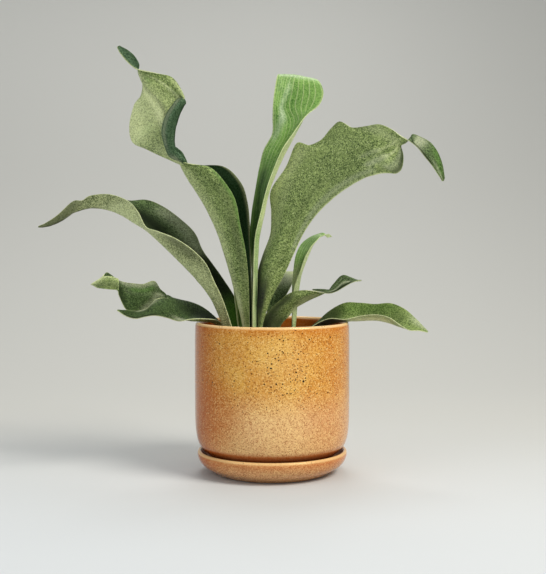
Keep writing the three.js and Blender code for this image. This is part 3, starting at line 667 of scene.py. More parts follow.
@dataclass
class PottingMix:
    """The bark mix that fills the pot to below its rim, with loose chips on top."""

    top: float = MIX_TOP
    bump: float = 0.9  # height of its lumps
    sides: int = 120
    rings: int = 40  # rings of the lumpy top
    chip: Point = (3.1, 1.9, 0.9)  # half sizes of a chip
    chip_roughness: float = 0.28
    chip_density: float = 26000.0  # chips per square metre
    chip_sink: float = 0.3
    crown_gap: float = 3.0  # kept free of chips round the crown
    wall_gap: float = 4.0  # and along the wall
    seed: int = 7
    bark: Bark = Bark("damp_bark")
    chip_bark: Bark = Bark("bark_chip", "#2e1f14", "#80603c")

    def height(self, x: float, y: float) -> float:
        """Height of the lumpy top at a place, in millimetres."""
        lumps = math.sin(x * 0.62 + 1.3 * math.sin(y * 0.35)) * math.cos(y * 0.55 + 0.8 * math.sin(x * 0.41))
        return self.top + self.bump * lumps

    def build(self) -> None:
        """Makes the filling and its chips."""
        inside = POT_RADIUS - POT_WALL - GAP
        low = POT_FLOOR + GAP
        profile = [
            (0, low), (DRAIN_RADIUS + 8, low), (38, low), (47, POT_FLOOR + 3.5), (54, POT_FLOOR + 11),
            (58, POT_FLOOR + 20), (inside, POT_FLOOR + 34), (inside, self.top - 8),
        ]
        profile += [(inside * share, self.top) for share in np.linspace(1, 0.02, self.rings)]
        piece = turned_piece("bark_mix_filling", [*profile, (0, self.top)], False, self.sides)
        for vert in piece.data.vertices:
            x, y, z = vert.co / MM
            if z > self.top - 1:  # on the level top
                vert.co.z = self.height(x, y) * MM
        piece.data.materials.append(self.bark.material())
        settle(piece, "bark_mix", "potting_mix")
        self.scatter_chips()

    def scatter_chips(self) -> None:
        """Lays chips on the part of the top that the crown leaves free."""
        points: list[Point] = []
        faces: list[tuple[int, ...]] = []
        wall = POT_RADIUS - POT_WALL - self.wall_gap
        crown = (CROWN_LONG + self.crown_gap, CROWN_WIDE + self.crown_gap)
        shares = np.linspace(0.0, 1.0, 9)
        turns = np.linspace(0.0, 2 * math.pi, 73)[:-1]
        for share in shares:
            for a in turns:
                around = np.array((math.cos(a), math.sin(a)))
                inner = (CROWN_X, CROWN_Y) + around * crown
                x, y = inner + (wall * around - inner) * share
                points.append((x, y, self.height(x, y) - self.chip_sink))
        count = len(turns)
        for ring in range(len(shares) - 1):
            for k in range(count):
                j = (k + 1) % count
                low, high = ring * count, (ring + 1) * count
                faces.append((low + k, high + k, high + j, low + j))
        seat = make_piece("chip_seat", np.array(points), faces)
        piece = scattered(
            "bark_chips", seat, self.chip_shape(), self.chip_bark.material(), self.chip_density,
            self.seed, low=0.5, high=1.25, tilt=0.5,
        )
        settle(piece, "bark_mix")

    def chip_shape(self) -> bpy.types.Object:
        """Makes one chip of bark: an uneven flat block with broken corners.

        Returns:
            The chip.
        """
        mesh = bmesh.new()
        bmesh.ops.create_icosphere(mesh, subdivisions=1, radius=1.0)
        for vert in mesh.verts:
            rough = 1 + self.chip_roughness * noise.noise(vert.co * 2.3)
            vert.co = vert.co * Vector(self.chip) * rough * MM
        data = bpy.data.meshes.new("chip")
        mesh.to_mesh(data)
        mesh.free()
        return shown("chip", data)


@dataclass
class Crown:
    """The short woody rhizome: a low oval mound under a coat of papery scales."""

    sides: int = 96
    knob: float = 0.7  # height of its knobs, in millimetres
    knobs_from: float = 5.5  # height above its foot at which they begin
    scales_from: float = 7.6  # and at which the scales begin
    scale_density: float = 120000.0  # scales per square metre
    seed: int = 3
    wood: Bark = Bark("rhizome_wood", "#33241a", "#6d5336")
    scale: Bark = Bark("papery_scales", "#5a4026", "#a8875a", 1.0)

    def build(self) -> None:
        """Makes the mound and its scales."""
        outline = (
            (0, 0), (0.98, 0), (1, 0.1), (1, 0.5), (0.94, 0.72), (0.8, 0.86), (0.6, 0.94), (0.36, 0.98),
            (0, 1),
        )
        mound = turned_piece("scaly_crown", rounded_profile(outline, False), False, self.sides)
        for vert in mound.data.vertices:
            x, y, z = vert.co / MM
            x, y = CROWN_X + x * CROWN_LONG, CROWN_Y + y * CROWN_WIDE
            z = CROWN_LOW + z * (CROWN_HIGH - CROWN_LOW)
            if z > CROWN_LOW + self.knobs_from:
                z += self.knob * math.sin(x * 1.1 + y * 0.6) * math.sin(y * 0.9 - x * 0.5)
            vert.co = Vector((x, y, z)) * MM
        mound.data.materials.append(self.wood.material())
        settle(mound, "crown_scales", "crown")

        seat = shown("scale_seat", mound.data.copy())
        cut = bmesh.new()
        cut.from_mesh(seat.data)
        bare = (CROWN_LOW + self.scales_from) * MM
        low = [f for f in cut.faces if f.calc_center_median().z < bare]
        bmesh.ops.delete(cut, geom=low, context="FACES")
        cut.to_mesh(seat.data)
        cut.free()
        piece = scattered(
            "crown_scale_coat", seat, self.scale_shape(), self.scale.material(), self.scale_density,
            self.seed, low=0.6, high=1.2, tilt=0.7,
        )
        settle(piece, "crown_scales")

    @staticmethod
    def scale_shape() -> bpy.types.Object:
        """Makes one papery scale: a thin pointed blade, 5 mm long, that lies back from its root.

        Returns:
            The scale.
        """
        outline = ((0.0, 0.5), (1.4, 0.9), (3.2, 0.7), (5.2, 0.06))  # place along it and half its width
        points = []
        for side in (0.12, -0.12):
            for x, half in outline:
                lift = 0.5 + 0.05 * x * x
                points += [(x, -half, lift + side), (x, half, lift + side)]
        faces = []
        for a in (0, 2, 4):
            faces.append((a, a + 2, a + 3, a + 1))
            faces.append((a + 8, a + 9, a + 11, a + 10))
            faces.append((a, a + 8, a + 10, a + 2))
            faces.append((a + 1, a + 3, a + 11, a + 9))
        faces += [(0, 1, 9, 8), (6, 14, 15, 7)]
        return make_piece("scale", np.array(points), faces)


# Fronds


@dataclass(frozen=True)
class Bend:
    """A frond's sweep forwards or back, which grows between two values of x or z.

    Every point slides along its line from the viewpoint, so the outline seen from there is kept.
    """

    axis: int  # 0 for x, 2 for z
    start: float
    end: float
    by: float  # millimetres at the end, away from the viewer

    def place(self, point: Point) -> np.ndarray:
        """Bends one point.

        Args:
            point: The point before the bend.

        Returns:
            The point after it.
        """
        share = smooth_step((point[self.axis] - self.start) / (self.end - self.start))
        scale = (point[1] + share * self.by - EYE[1]) / (point[1] - EYE[1])
        return EYE + (np.array(point, float) - EYE) * scale


@dataclass(frozen=True)
class Fork:
    """A part of a blade that grows on from some columns of its last row."""

    start: int
    end: int
    rows: tuple[Row, ...]


@dataclass(frozen=True)
class Shape:
    """The rows of points that lay out a frond, margin to margin, from its foot to its tip."""

    columns: int
    rows: tuple[Row, ...]
    peg: Optional[Point] = None  # place and radius of its foot
    bend: Optional[Bend] = None
    forks: tuple[Fork, ...] = ()
    lobes: tuple[tuple[Row, ...], ...] = ()


TALL_LEFT = Shape(
    peg=(-21, -12, 2.8),
    columns=8,
    rows=(
        ((-19.7, -14, 109), (-21, -14, 109), (-22.7, -12.7, 109), (-23, -11.3, 109), (-20, -9.3, 108.5)),
        ((-18.8, -15.5, 126.5), (-21.3, -15, 126.5), (-23.5, -13, 126.5), (-24, -10.5, 126),
         (-17.5, -5, 126)),
        ((-19, -18, 148.5), (-22.5, -18, 148.5), (-26.3, -15, 148), (-29, -10, 148), (-17.5, -1, 147.5)),
        ((-19.7, -20, 169), (-24, -20, 169), (-30, -17, 169), (-34.3, -10, 169), (-17.7, 4, 168.5)),
        ((-22, -22, 190), (-26.5, -22, 190), (-33.8, -18, 190), (-40.2, -11, 190), (-18, 8, 189.5)),
        ((-26, -25, 210), (-31, -25, 210), (-39.3, -20, 210.5), (-47.3, -12, 210.5), (-19, 11, 210.5)),
        ((-30, -28, 230.5), (-37, -28, 230), (-47.5, -23, 230), (-57, -15, 230.5), (-21, 12, 229.5)),
        ((-38.5, -30, 245), (-46.5, -31, 245), (-57, -26, 245.5), (-67, -18, 246.5), (-26.5, 9, 246.3)),
        ((-50.5, -31, 257), (-56, -32, 256.5), (-64.5, -28, 256), (-72.5, -21, 256), (-42, 4, 260)),
        ((-67.5, -32, 260), (-69, -31, 259.7), (-71.3, -28, 259), (-74.5, -24, 258.5), (-70, -17, 259)),
        ((-81.5, -34, 264.3), (-76.5, -38, 264), (-71.3, -33, 263.5), (-78.5, -26, 265.5), (-87, -21, 265)),
        ((-86, -33, 271.5), (-82, -40, 271.5), (-78.3, -33, 273), (-86.5, -26, 278), (-103.5, -19, 272.5)),
        ((-89.5, -32, 285.5), (-84, -41, 285), (-78.5, -33, 286), (-89, -26, 292.5), (-115, -17, 278.5)),
        ((-86.3, -31, 298.5), (-81, -40, 297), (-75.8, -31, 298), (-92.5, -25, 305.5), (-117.5, -16, 292)),
        ((-80.3, -29, 308.3), (-76, -36, 306.5), (-72.8, -29, 306.5), (-97, -24, 314.5),
         (-114, -16, 307.5)),
        ((-76.4, -28.5, 312.3), (-73.1, -33.5, 310.8), (-72.1, -28, 311),
         (-99, -23.5, 318.5), (-111.5, -16.5, 311.8)),
        ((-71.8, -28, 315), (-72, -31, 314.5), (-81, -27, 320), (-101.3, -23, 322), (-108, -17, 316)),
        ((-80.5, -27, 329.5), (-83.7, -27, 328), (-91, -25, 327.5), (-104.5, -22, 328.5), (-106, -18, 324)),
        ((-94.5, -26, 333.5), (-97.7, -25, 333.5), (-102, -24, 333),
         (-106.5, -22, 333.5), (-107.8, -19, 329.5)),
        ((-107, -25, 336), (-107.7, -24, 336), (-108.3, -23, 336), (-109, -22, 336), (-109.7, -20, 335.3)),
        ((-113.5, -24, 339), (-112.7, -23.5, 339.3), (-112, -22.5, 339.8),
         (-111.5, -21.5, 340.5), (-109, -18, 341.7)),
        ((-119.5, -23, 344.5), (-118.3, -22.5, 345.5), (-117, -21.5, 346.5),
         (-115.7, -20.5, 347.5), (-113, -17, 348.7)),
        ((-124.2, -22, 350.4), (-123.3, -21.5, 351), (-122, -21, 351.4),
         (-121, -20, 352), (-118.5, -17, 353.5)),
        ((-126.6, -21, 355.2), (-126.4, -20.7, 355.6), (-126, -20.3, 356),
         (-125.6, -20, 356.3), (-125, -19, 356.8)),
    ),
    lobes=(
        (
            ((-72.5, -29, 260), (-70, -30, 259.5), (-68.5, -29, 260)),
            ((-76, -29, 265), (-73, -30, 265.3), (-70.5, -29, 264.7)),
            ((-78.5, -28, 270.3), (-76, -29, 270.3), (-73.3, -28, 269.5)),
            ((-79.2, -28, 273.6), (-78.5, -28.5, 273.6), (-77.5, -28, 273)),
        ),
    ),
)

LONG_LEFT = Shape(
    peg=(-29.7, -10, 2.7),
    columns=4,
    bend=Bend(0, -45, -195, 45),
    rows=(
        ((-28.5, -12, 109), (-31.7, -10, 108.7), (-28.5, -8, 108.5)),
        ((-33.8, -14, 126.5), (-40.7, -9, 126), (-29.3, 0, 125.5)),
        ((-41, -17, 148.5), (-50.2, -9, 148), (-31, 3, 147)),
        ((-48.5, -18, 165), (-62.4, -9, 164), (-41, 6, 164)),
        ((-54.5, -19, 178), (-74.5, -9, 177), (-50.7, 8, 177.5)),
        ((-64.5, -20, 189), (-88, -10, 190.5), (-59.3, 10, 189.5)),
        ((-79, -22, 199), (-99, -10, 201.3), (-66, 12, 204)),
        ((-93.5, -24, 205), (-107.3, -12, 209), (-78.5, 12, 216)),
        ((-103.3, -25, 208.7), (-117, -13, 215.4), (-92.7, 10, 226.3)),
        ((-109.7, -25, 221), (-126.8, -14, 220), (-106, 7, 231.7)),
        ((-118, -24, 230), (-139, -15, 223.5), (-119.7, 2, 231)),
        ((-133, -23, 235.5), (-150.5, -16, 224.4), (-134, -2, 234)),
        ((-148.5, -23, 234.5), (-163, -16, 221), (-150.5, -6, 232)),
        ((-155.5, -23, 230.6), (-168, -17, 218), (-157, -7, 228.8)),
        ((-163.5, -23, 229.7), (-174, -18.5, 213.7), (-166, -9, 226)),
        ((-175.5, -23, 219), (-182, -20, 210), (-177.5, -13, 216)),
        ((-185.2, -22.5, 212.5), (-188, -21, 208.7), (-186.7, -17, 210.8)),
        ((-192, -21.5, 209.5), (-192.4, -21, 208.7), (-192, -20, 208.7)),
    ),
)

LOW_LEFT = Shape(
    peg=(-30, 1.5, 2.7),
    columns=8,
    bend=Bend(0, -66, -141, -38),
    rows=(
        ((-29, -0.3, 109), (-31.7, 1.5, 108.5), (-29, 3.3, 109)),
        ((-35.5, -4, 119), (-36.5, 2, 115.5), (-35, 8, 118)),
        ((-44.5, -7, 130), (-46, 1, 125.5), (-47.5, 11, 131)),
        ((-56.7, -14, 132.5), (-57.5, -9, 130), (-58, 0, 131.5), (-58, 8, 136.5), (-58.3, 12, 139.8)),
        ((-68, -18, 132.5), (-69, -12, 131), (-69.5, -3, 134), (-69, 6, 141), (-68.5, 12, 144.5)),
        ((-77, -19, 131), (-78.5, -13, 134.5), (-79, -5, 139.5), (-79, 5, 145), (-78.8, 12, 147)),
        ((-86, -19, 133.5), (-87.5, -13, 139), (-87.7, -5, 145.5), (-88.3, 5, 150.7), (-88.5, 13, 149.5)),
    ),
    forks=(
        Fork(0, 5, (
            ((-96, -19, 135.5), (-97, -9, 143), (-97.7, 1, 148)),
            ((-104.3, -19, 134.8), (-105, -12, 138), (-105.7, -1, 140.5)),
            ((-112.8, -18, 133), (-112.6, -12, 136), (-113, -3, 138.2)),
            ((-121.2, -17, 135), (-121, -12, 137.2), (-121, -6, 139)),
            ((-129, -13, 139.4), (-129.3, -12, 139.7), (-129.3, -11, 139.7)),
        )),
        Fork(5, 8, (
            ((-91, 6, 145), (-91.7, 11, 149), (-92, 15, 152.5)),
            ((-98, 8, 139), (-98.3, 11, 149.3), (-96, 15, 156)),
            ((-104, 6, 136), (-103, 8, 148.5), (-101, 13, 163)),
            ((-111, 4, 135), (-110.5, 5, 148), (-110, 10, 160.5)),
            ((-118, 2, 136.5), (-117.5, 3.5, 149), (-117.5, 8, 161)),
            ((-124, 1, 139.7), (-123.3, 2.5, 150.5), (-124, 7, 161.8)),
            ((-129, 0, 150.5), (-128, 1, 156.6), (-129.5, 5, 163.5)),
            ((-130.5, -1, 155.5), (-130.5, 0, 158.8), (-132.5, 4, 165.5)),
            ((-137, -3, 157), (-137, -1, 161.3), (-139.5, 3, 170.5)),
            ((-145, -7, 158), (-148.8, -6.5, 160.3), (-149.3, -6, 161), (-145.3, -4, 164.4),
             (-142, -1, 168)),
            ((-145, -10, 158), (-149.3, -10, 160.7), (-149.8, -10, 161.2),
             (-145, -9, 164.4), (-141, -7, 167.5)),
            ((-136.7, -12, 157), (-135.4, -12, 162.2), (-135, -9, 167.7)),
            ((-128, -12, 156.5), (-127.6, -12, 160.6), (-128.3, -9, 165.5)),
        )),
    ),
)

CENTRE = Shape(
    peg=(-14.7, -12.7, 2.2),
    columns=4,
    rows=(
        ((-15.7, -11.2, 108.7), (-13.3, -12.7, 109), (-15.7, -14, 109)),
        ((-16.9, -9, 126), (-13.2, -12, 126.4), (-16.3, -16, 126.7)),
        ((-17, -8, 148), (-12.8, -12, 148), (-16, -17, 148.4)),
        ((-17, -7, 169), (-12.4, -12, 169), (-15.4, -18, 169)),
        ((-17.5, -6, 185.5), (-11.8, -12, 185.5), (-15, -18, 185.7)),
        ((-18.6, -4, 202), (-10.5, -12, 202), (-13.7, -19, 202)),
        ((-17, -2, 221.5), (-6.5, -11, 221), (-9.2, -20, 221)),
        ((-14, 0, 240), (-9.5, -5, 239.5), (-4.5, -7, 239.5), (-1.7, -11, 240.5), (-4.3, -20, 240.5)),
        ((-10.8, 1, 258.3), (-5, -4, 257), (1, -6, 256.5), (5.2, -10, 258), (2, -20, 258)),
        ((-7, 1, 273.5), (0, -4, 271.5), (7, -5, 271), (12.2, -9, 272.5), (8.8, -20, 273)),
        ((0, 0, 286.7), (7, -5, 284), (14, -5, 283.5), (19.5, -9, 286), (17.6, -18, 286)),
        ((0.3, -2, 299.8), (8.5, -5, 297), (17, -6, 296.5), (25.5, -11, 299), (27.8, -16, 300)),
        ((0.7, -3, 312), (13.2, -3, 308), (38.7, -13, 309.3)),
        ((2, -2, 323), (15, -1, 320), (42.5, -9, 319.5)),
        ((3.7, 2, 333.5), (17.5, 3, 332), (40, -2, 329)),
        ((5, 6, 337), (19.3, 9, 336.7), (36, 5, 333)),
        ((6, 12, 336.5), (20.2, 16, 336.3), (34.5, 12, 332)),
        ((10, 16, 332), (21.2, 20, 331), (29.5, 16, 328.7)),
    ),
)

BROAD_RIGHT = Shape(
    peg=(-8.5, -12.7, 2.6),
    columns=5,
    bend=Bend(0, 5, 115, -35),
    rows=(
        ((-6.7, -12, 108.7), (-8.5, -14.3, 109), (-10.3, -12, 108.8)),
        ((-8.2, -11, 126.3), (-10, -15, 126.5), (-12.8, -9, 126)),
        ((-0.5, -14, 150), (-8.4, -16, 148.3), (-12.7, -8, 147.8)),
        ((9.5, -17, 168.3), (-3.4, -18, 171), (-12.3, -7, 168.7)),
        ((17.6, -20, 185.9), (3.2, -20, 189), (-7.7, -6, 185.4)),
        ((25.6, -22, 203), (9.7, -21, 208), (-1.4, -6, 203)),
        ((36.4, -25, 218.8), (15.5, -22, 227.5), (-0.6, -6, 221.3)),
        ((50.4, -27, 232.5), (24.4, -23, 244), (-1, -6, 239)),
        ((64.2, -29, 242.4), (37.5, -24, 255), (11.5, -8, 258.6)),
        ((75.8, -31, 248.6), (50.4, -26, 263.3), (20.2, -9, 278)),
        ((82, -32, 250.4), (57.7, -27, 266.4), (29.5, -13, 276)),
        ((88.2, -32, 252), (65, -28, 269.6), (40.4, -15.5, 280.5)),
        ((94.8, -31, 252.3), (72.2, -29, 272.8), (48.4, -17.5, 289.7)),
        ((100.6, -30, 252), (79.4, -30, 274.7), (55.7, -19, 295.2)),
        ((105, -28, 255), (86.7, -30, 275.5), (65.2, -23, 290)),
        ((106.8, -27, 260.8), (92.4, -30, 276.3), (76.4, -26, 290.8)),
        ((106.8, -27, 267.2), (97.2, -30, 278), (86.7, -29, 292)),
        ((105, -27, 274.5), (101.6, -31, 280), (96.3, -31, 288)),
        ((108.8, -28, 277), (107.3, -31, 278.3), (104.2, -33, 282)),
        ((112.8, -25, 281.8), (112.4, -29, 279.6), (111.5, -33, 277.8)),
        ((114.8, -24, 284.2), (114.3, -30, 280), (114.2, -34, 275.6)),
        ((120, -24, 282.7), (118.3, -30, 277.5), (117.8, -34, 272.4)),
        ((128.7, -24, 278), (125.9, -30, 271.8), (124.2, -33, 264.6)),
        ((135, -25, 270), (132, -29, 264), (130.4, -31, 257.4)),
        ((138.9, -26, 259.6), (136.9, -28, 255.8), (135.2, -29, 250.8)),
        ((140.7, -27, 248.5), (139.8, -27.5, 246.4), (138.6, -28, 245.7)),
    ),
)

SMALL_RIGHT = Shape(
    peg=(16.4, 8, 2.2),
    columns=4,
    bend=Bend(2, 170, 215, 25),
    rows=(
        ((15.5, 9.3, 108.5), (17.6, 8, 108.5), (15.7, 6.5, 108.5)),
        ((16.7, 9, 124.5), (19.6, 7, 124.8), (17, 5, 125)),
        ((17, 9.5, 142.5), (21, 7, 142.7), (17.2, 4, 143)),
        ((17, 10, 157), (22.6, 7, 157.2), (18.5, 2.5, 157.4)),
        ((18, 11, 170.6), (25, 7.5, 170), (23.5, 1.5, 171)),
        ((20, 12, 184), (28.7, 8, 181), (28, 1, 183.6)),
        ((24.6, 12, 194), (31.2, 7, 187.7), (32.7, 1, 192)),
        ((31.3, 11, 199.7), (34.6, 6, 195.4), (37, 2, 196.8)),
        ((38, 9, 202.7), (38.8, 5, 201), (40.4, 3, 200.4)),
        ((43.4, 5, 203.7), (43, 4, 202), (42.5, 3, 201.3)),
        ((46.3, 4, 200.2), (46.7, 3.5, 201.7), (47.5, 3, 203)),
        ((50.2, 5, 200.6), (50.3, 4.5, 200.8), (50.4, 4, 201)),
    ),
)

FORKED_RIGHT = Shape(
    peg=(-0.5, -2, 2.9),
    columns=4,
    rows=(
        ((1.5, -1, 108.7), (-0.5, -3.2, 109), (-2.5, -1, 108.7)),
        ((7, 1, 125.3), (-0.6, -3, 125.6), (-8.5, 0, 128.8)),
        ((13.4, 2, 132.8), (5, -3, 135.7), (-3.5, 0, 137.6)),
        ((20.2, 3, 140.4), (13.3, -3, 144.2), (5.8, 0, 146.5)),
        ((27, 4, 144.6), (21, -3, 149.2), (15, -1, 153.3)),
        ((33.8, 5, 148), (30.2, -2, 151.7), (25, -2, 155.7)),
        ((42.3, 6, 151.7), (38.7, 0, 153.3), (35.2, -3, 155)),
        ((48.3, 8, 155.4), (47.3, 4, 154), (46.2, 0, 153)),
        ((51.8, 9, 160), (53.2, 4, 157), (53.8, 0, 154.5)),
        ((59.5, 10, 167.7), (60, 5, 163.2), (60.6, 0, 158.3)),
        ((67, 9, 166), (66.8, 5, 163.6), (66.6, 2, 161.6)),
        ((72, 7, 164), (72, 5, 163.6), (71.8, 3.5, 163.3)),
        ((75.8, 6, 164), (75.7, 5.5, 163.8), (75.7, 5, 163.6)),
    ),
    lobes=(
        (
            ((51, 6.5, 154), (51, 7.5, 154.6), (51, 9, 155.2)),
            ((42.4, 7.5, 154.2), (42.4, 8.7, 155.2), (42.4, 10, 156)),
            ((34.3, 9, 155.3), (34.3, 9.3, 155.6), (34.3, 9.7, 156)),
        ),
    ),
)

BACK = Shape(
    peg=(-4, 11.5, 2.5),
    columns=4,
    rows=(
        ((-5.7, 10.7, 108.5), (-4, 12.7, 108.5), (-2.3, 10.7, 108.5)),
        ((-5.3, 13, 124.3), (-2, 15, 124), (1.6, 13, 124.3)),
        ((-4.4, 15, 139.5), (-0.2, 18, 139.4), (4.6, 15, 139.6)),
        ((-3.6, 18, 151.5), (3.3, 22, 151.2), (12, 18, 150.6)),
        ((-2.8, 23, 161.6), (6.8, 27, 161.4), (17.5, 22, 160.8)),
        ((-1, 30, 167.4), (8.6, 33, 167.7), (19, 29, 167.4)),
        ((1.6, 38, 169.7), (10, 41, 170), (18.7, 37, 169.7)),
        ((4.2, 46, 167.6), (10.5, 49, 168), (16.6, 45, 167.2)),
        ((7.8, 53, 164.7), (11, 55, 164.7), (14, 53, 164.3)),
    ),
)

LOW_RIGHT = Shape(
    peg=(12.2, -2, 2.6),
    columns=4,
    bend=Bend(0, 66, 118, -30),
    rows=(
        ((12.8, -0.2, 109.3), (11, -2, 108.8), (12.8, -3.8, 109.3)),
        ((26.3, 8, 118.7), (26, 0, 117), (26.7, -7, 120)),
        ((37.5, 12, 127), (37, 0, 123.7), (37.4, -11, 128.3)),
        ((49.5, 14, 137.5), (49, 2, 127), (48, -14, 132.8)),
        ((62.4, 15, 144), (61.6, 2, 130), (60.5, -16, 132.3)),
        ((75.3, 15, 144), (74.2, 1, 130.2), (74.4, -18, 135.4)),
        ((88, 14, 143), (87.6, -1, 130.5), (86.7, -19, 136.2)),
        ((101.3, 12, 143.8), (98.3, -4, 129), (96.8, -20, 133.9)),
        ((112.7, 9, 139.2), (107.5, -8, 126.2), (106.2, -19, 127.5)),
        ((121.3, 3, 131.6), (115.8, -10, 124), (114, -17, 123.2)),
        ((127.1, -3, 125.4), (124.2, -9, 122.5), (122.6, -13, 122.6)),
        ((130.6, -7, 121.1), (130.4, -8, 120.8), (129.6, -9, 120.8)),
    ),
)

FOOT_LEFT = Shape(
    peg=(-24, -3.7, 2.2),
    columns=2,
    rows=(
        ((-25.3, -4.7, 108.5), (-24, -2.7, 108.5), (-22.7, -4.7, 108.5)),
        ((-28.7, -6, 126), (-26.7, -3, 125.6), (-23.7, -4, 125.7)),
        ((-30.3, -6, 139.3), (-28.3, -3, 139), (-25.4, -4, 139)),
        ((-31.8, -5, 151), (-29.6, -3, 151), (-27, -4, 151)),
        ((-32.2, -5, 159.4), (-30.4, -3, 159.3), (-28.3, -4, 159.4)),
        ((-31.5, -4, 166), (-31, -3.5, 166), (-30.5, -4, 166)),
    ),
)

SHIELD_FRONT = Shape(
    columns=6,
    rows=(
        ((-22, -22.5, 109.5), (-16, -23.5, 111), (-9, -24, 111.5), (-2, -23.5, 111), (5, -22.5, 109.5)),
        ((-28, -27, 108.4), (-19, -29, 111), (-9, -30, 112), (1, -29, 111), (10, -27, 108.4)),
        ((-30, -33, 108.4), (-20, -36, 110), (-9, -37, 111), (2, -36, 110), (12, -33, 108.4)),
        ((-26, -40, 108.4), (-18, -43, 108.6), (-9, -44, 109), (0, -43, 108.6), (8, -40, 108.4)),
        ((-18, -46, 108.4), (-13.5, -47.5, 108.4), (-9, -48, 108.5), (-4.5, -47.5, 108.4), (0, -46, 108.4)),
    ),
)

SHIELD_BACK = Shape(
    columns=6,
    rows=(
        ((10, 23, 109), (3, 24, 110), (-4, 24.5, 110.5), (-11, 24, 110), (-18, 23, 109)),
        ((15, 28, 107.9), (6, 30, 110), (-4, 31, 111), (-14, 30, 110), (-23, 28, 107.9)),
        ((16, 34, 107.9), (7, 37, 109), (-4, 38, 110), (-15, 37, 109), (-24, 34, 107.9)),
        ((10, 41, 107.9), (3, 43, 108), (-4, 44, 108.3), (-11, 43, 108), (-18, 41, 107.9)),
    ),
)


@dataclass(frozen=True)
class Accent:
    """A soft stroke of one tone on a blade.

    Places are a share of the width, from the first margin to the second, and a row number. Many
    strokes are painted light, shade or sheen; the rest are marks of the blade's own colour.
    """

    mark: str  # what it shows
    tone: Tone
    start: tuple[float, float]
    end: tuple[float, float]
    wide: float  # reach across, as a share of the width
    long: float  # reach along, in rows
    amount: float
    face: Face
    part: int = 0  # 0 is the trunk; forks and then lobes follow

    def weight(self, across: np.ndarray, row: np.ndarray) -> np.ndarray:
        """The stroke's strength at places on its part.

        Args:
            across: The places' shares of the width.
            row: Their row numbers.

        Returns:
            The strength at each place.
        """
        scale = np.array((self.wide, self.long))
        a = np.array(self.start) / scale
        b = np.array(self.end) / scale
        p = np.stack((across, row), -1) / scale
        span = b - a
        t = np.clip(((p - a) @ span) / max(float(span @ span), 1e-9), 0.0, 1.0)
        gap = p - (a + t[..., None] * span)
        return self.amount * np.exp(-(gap**2).sum(-1))


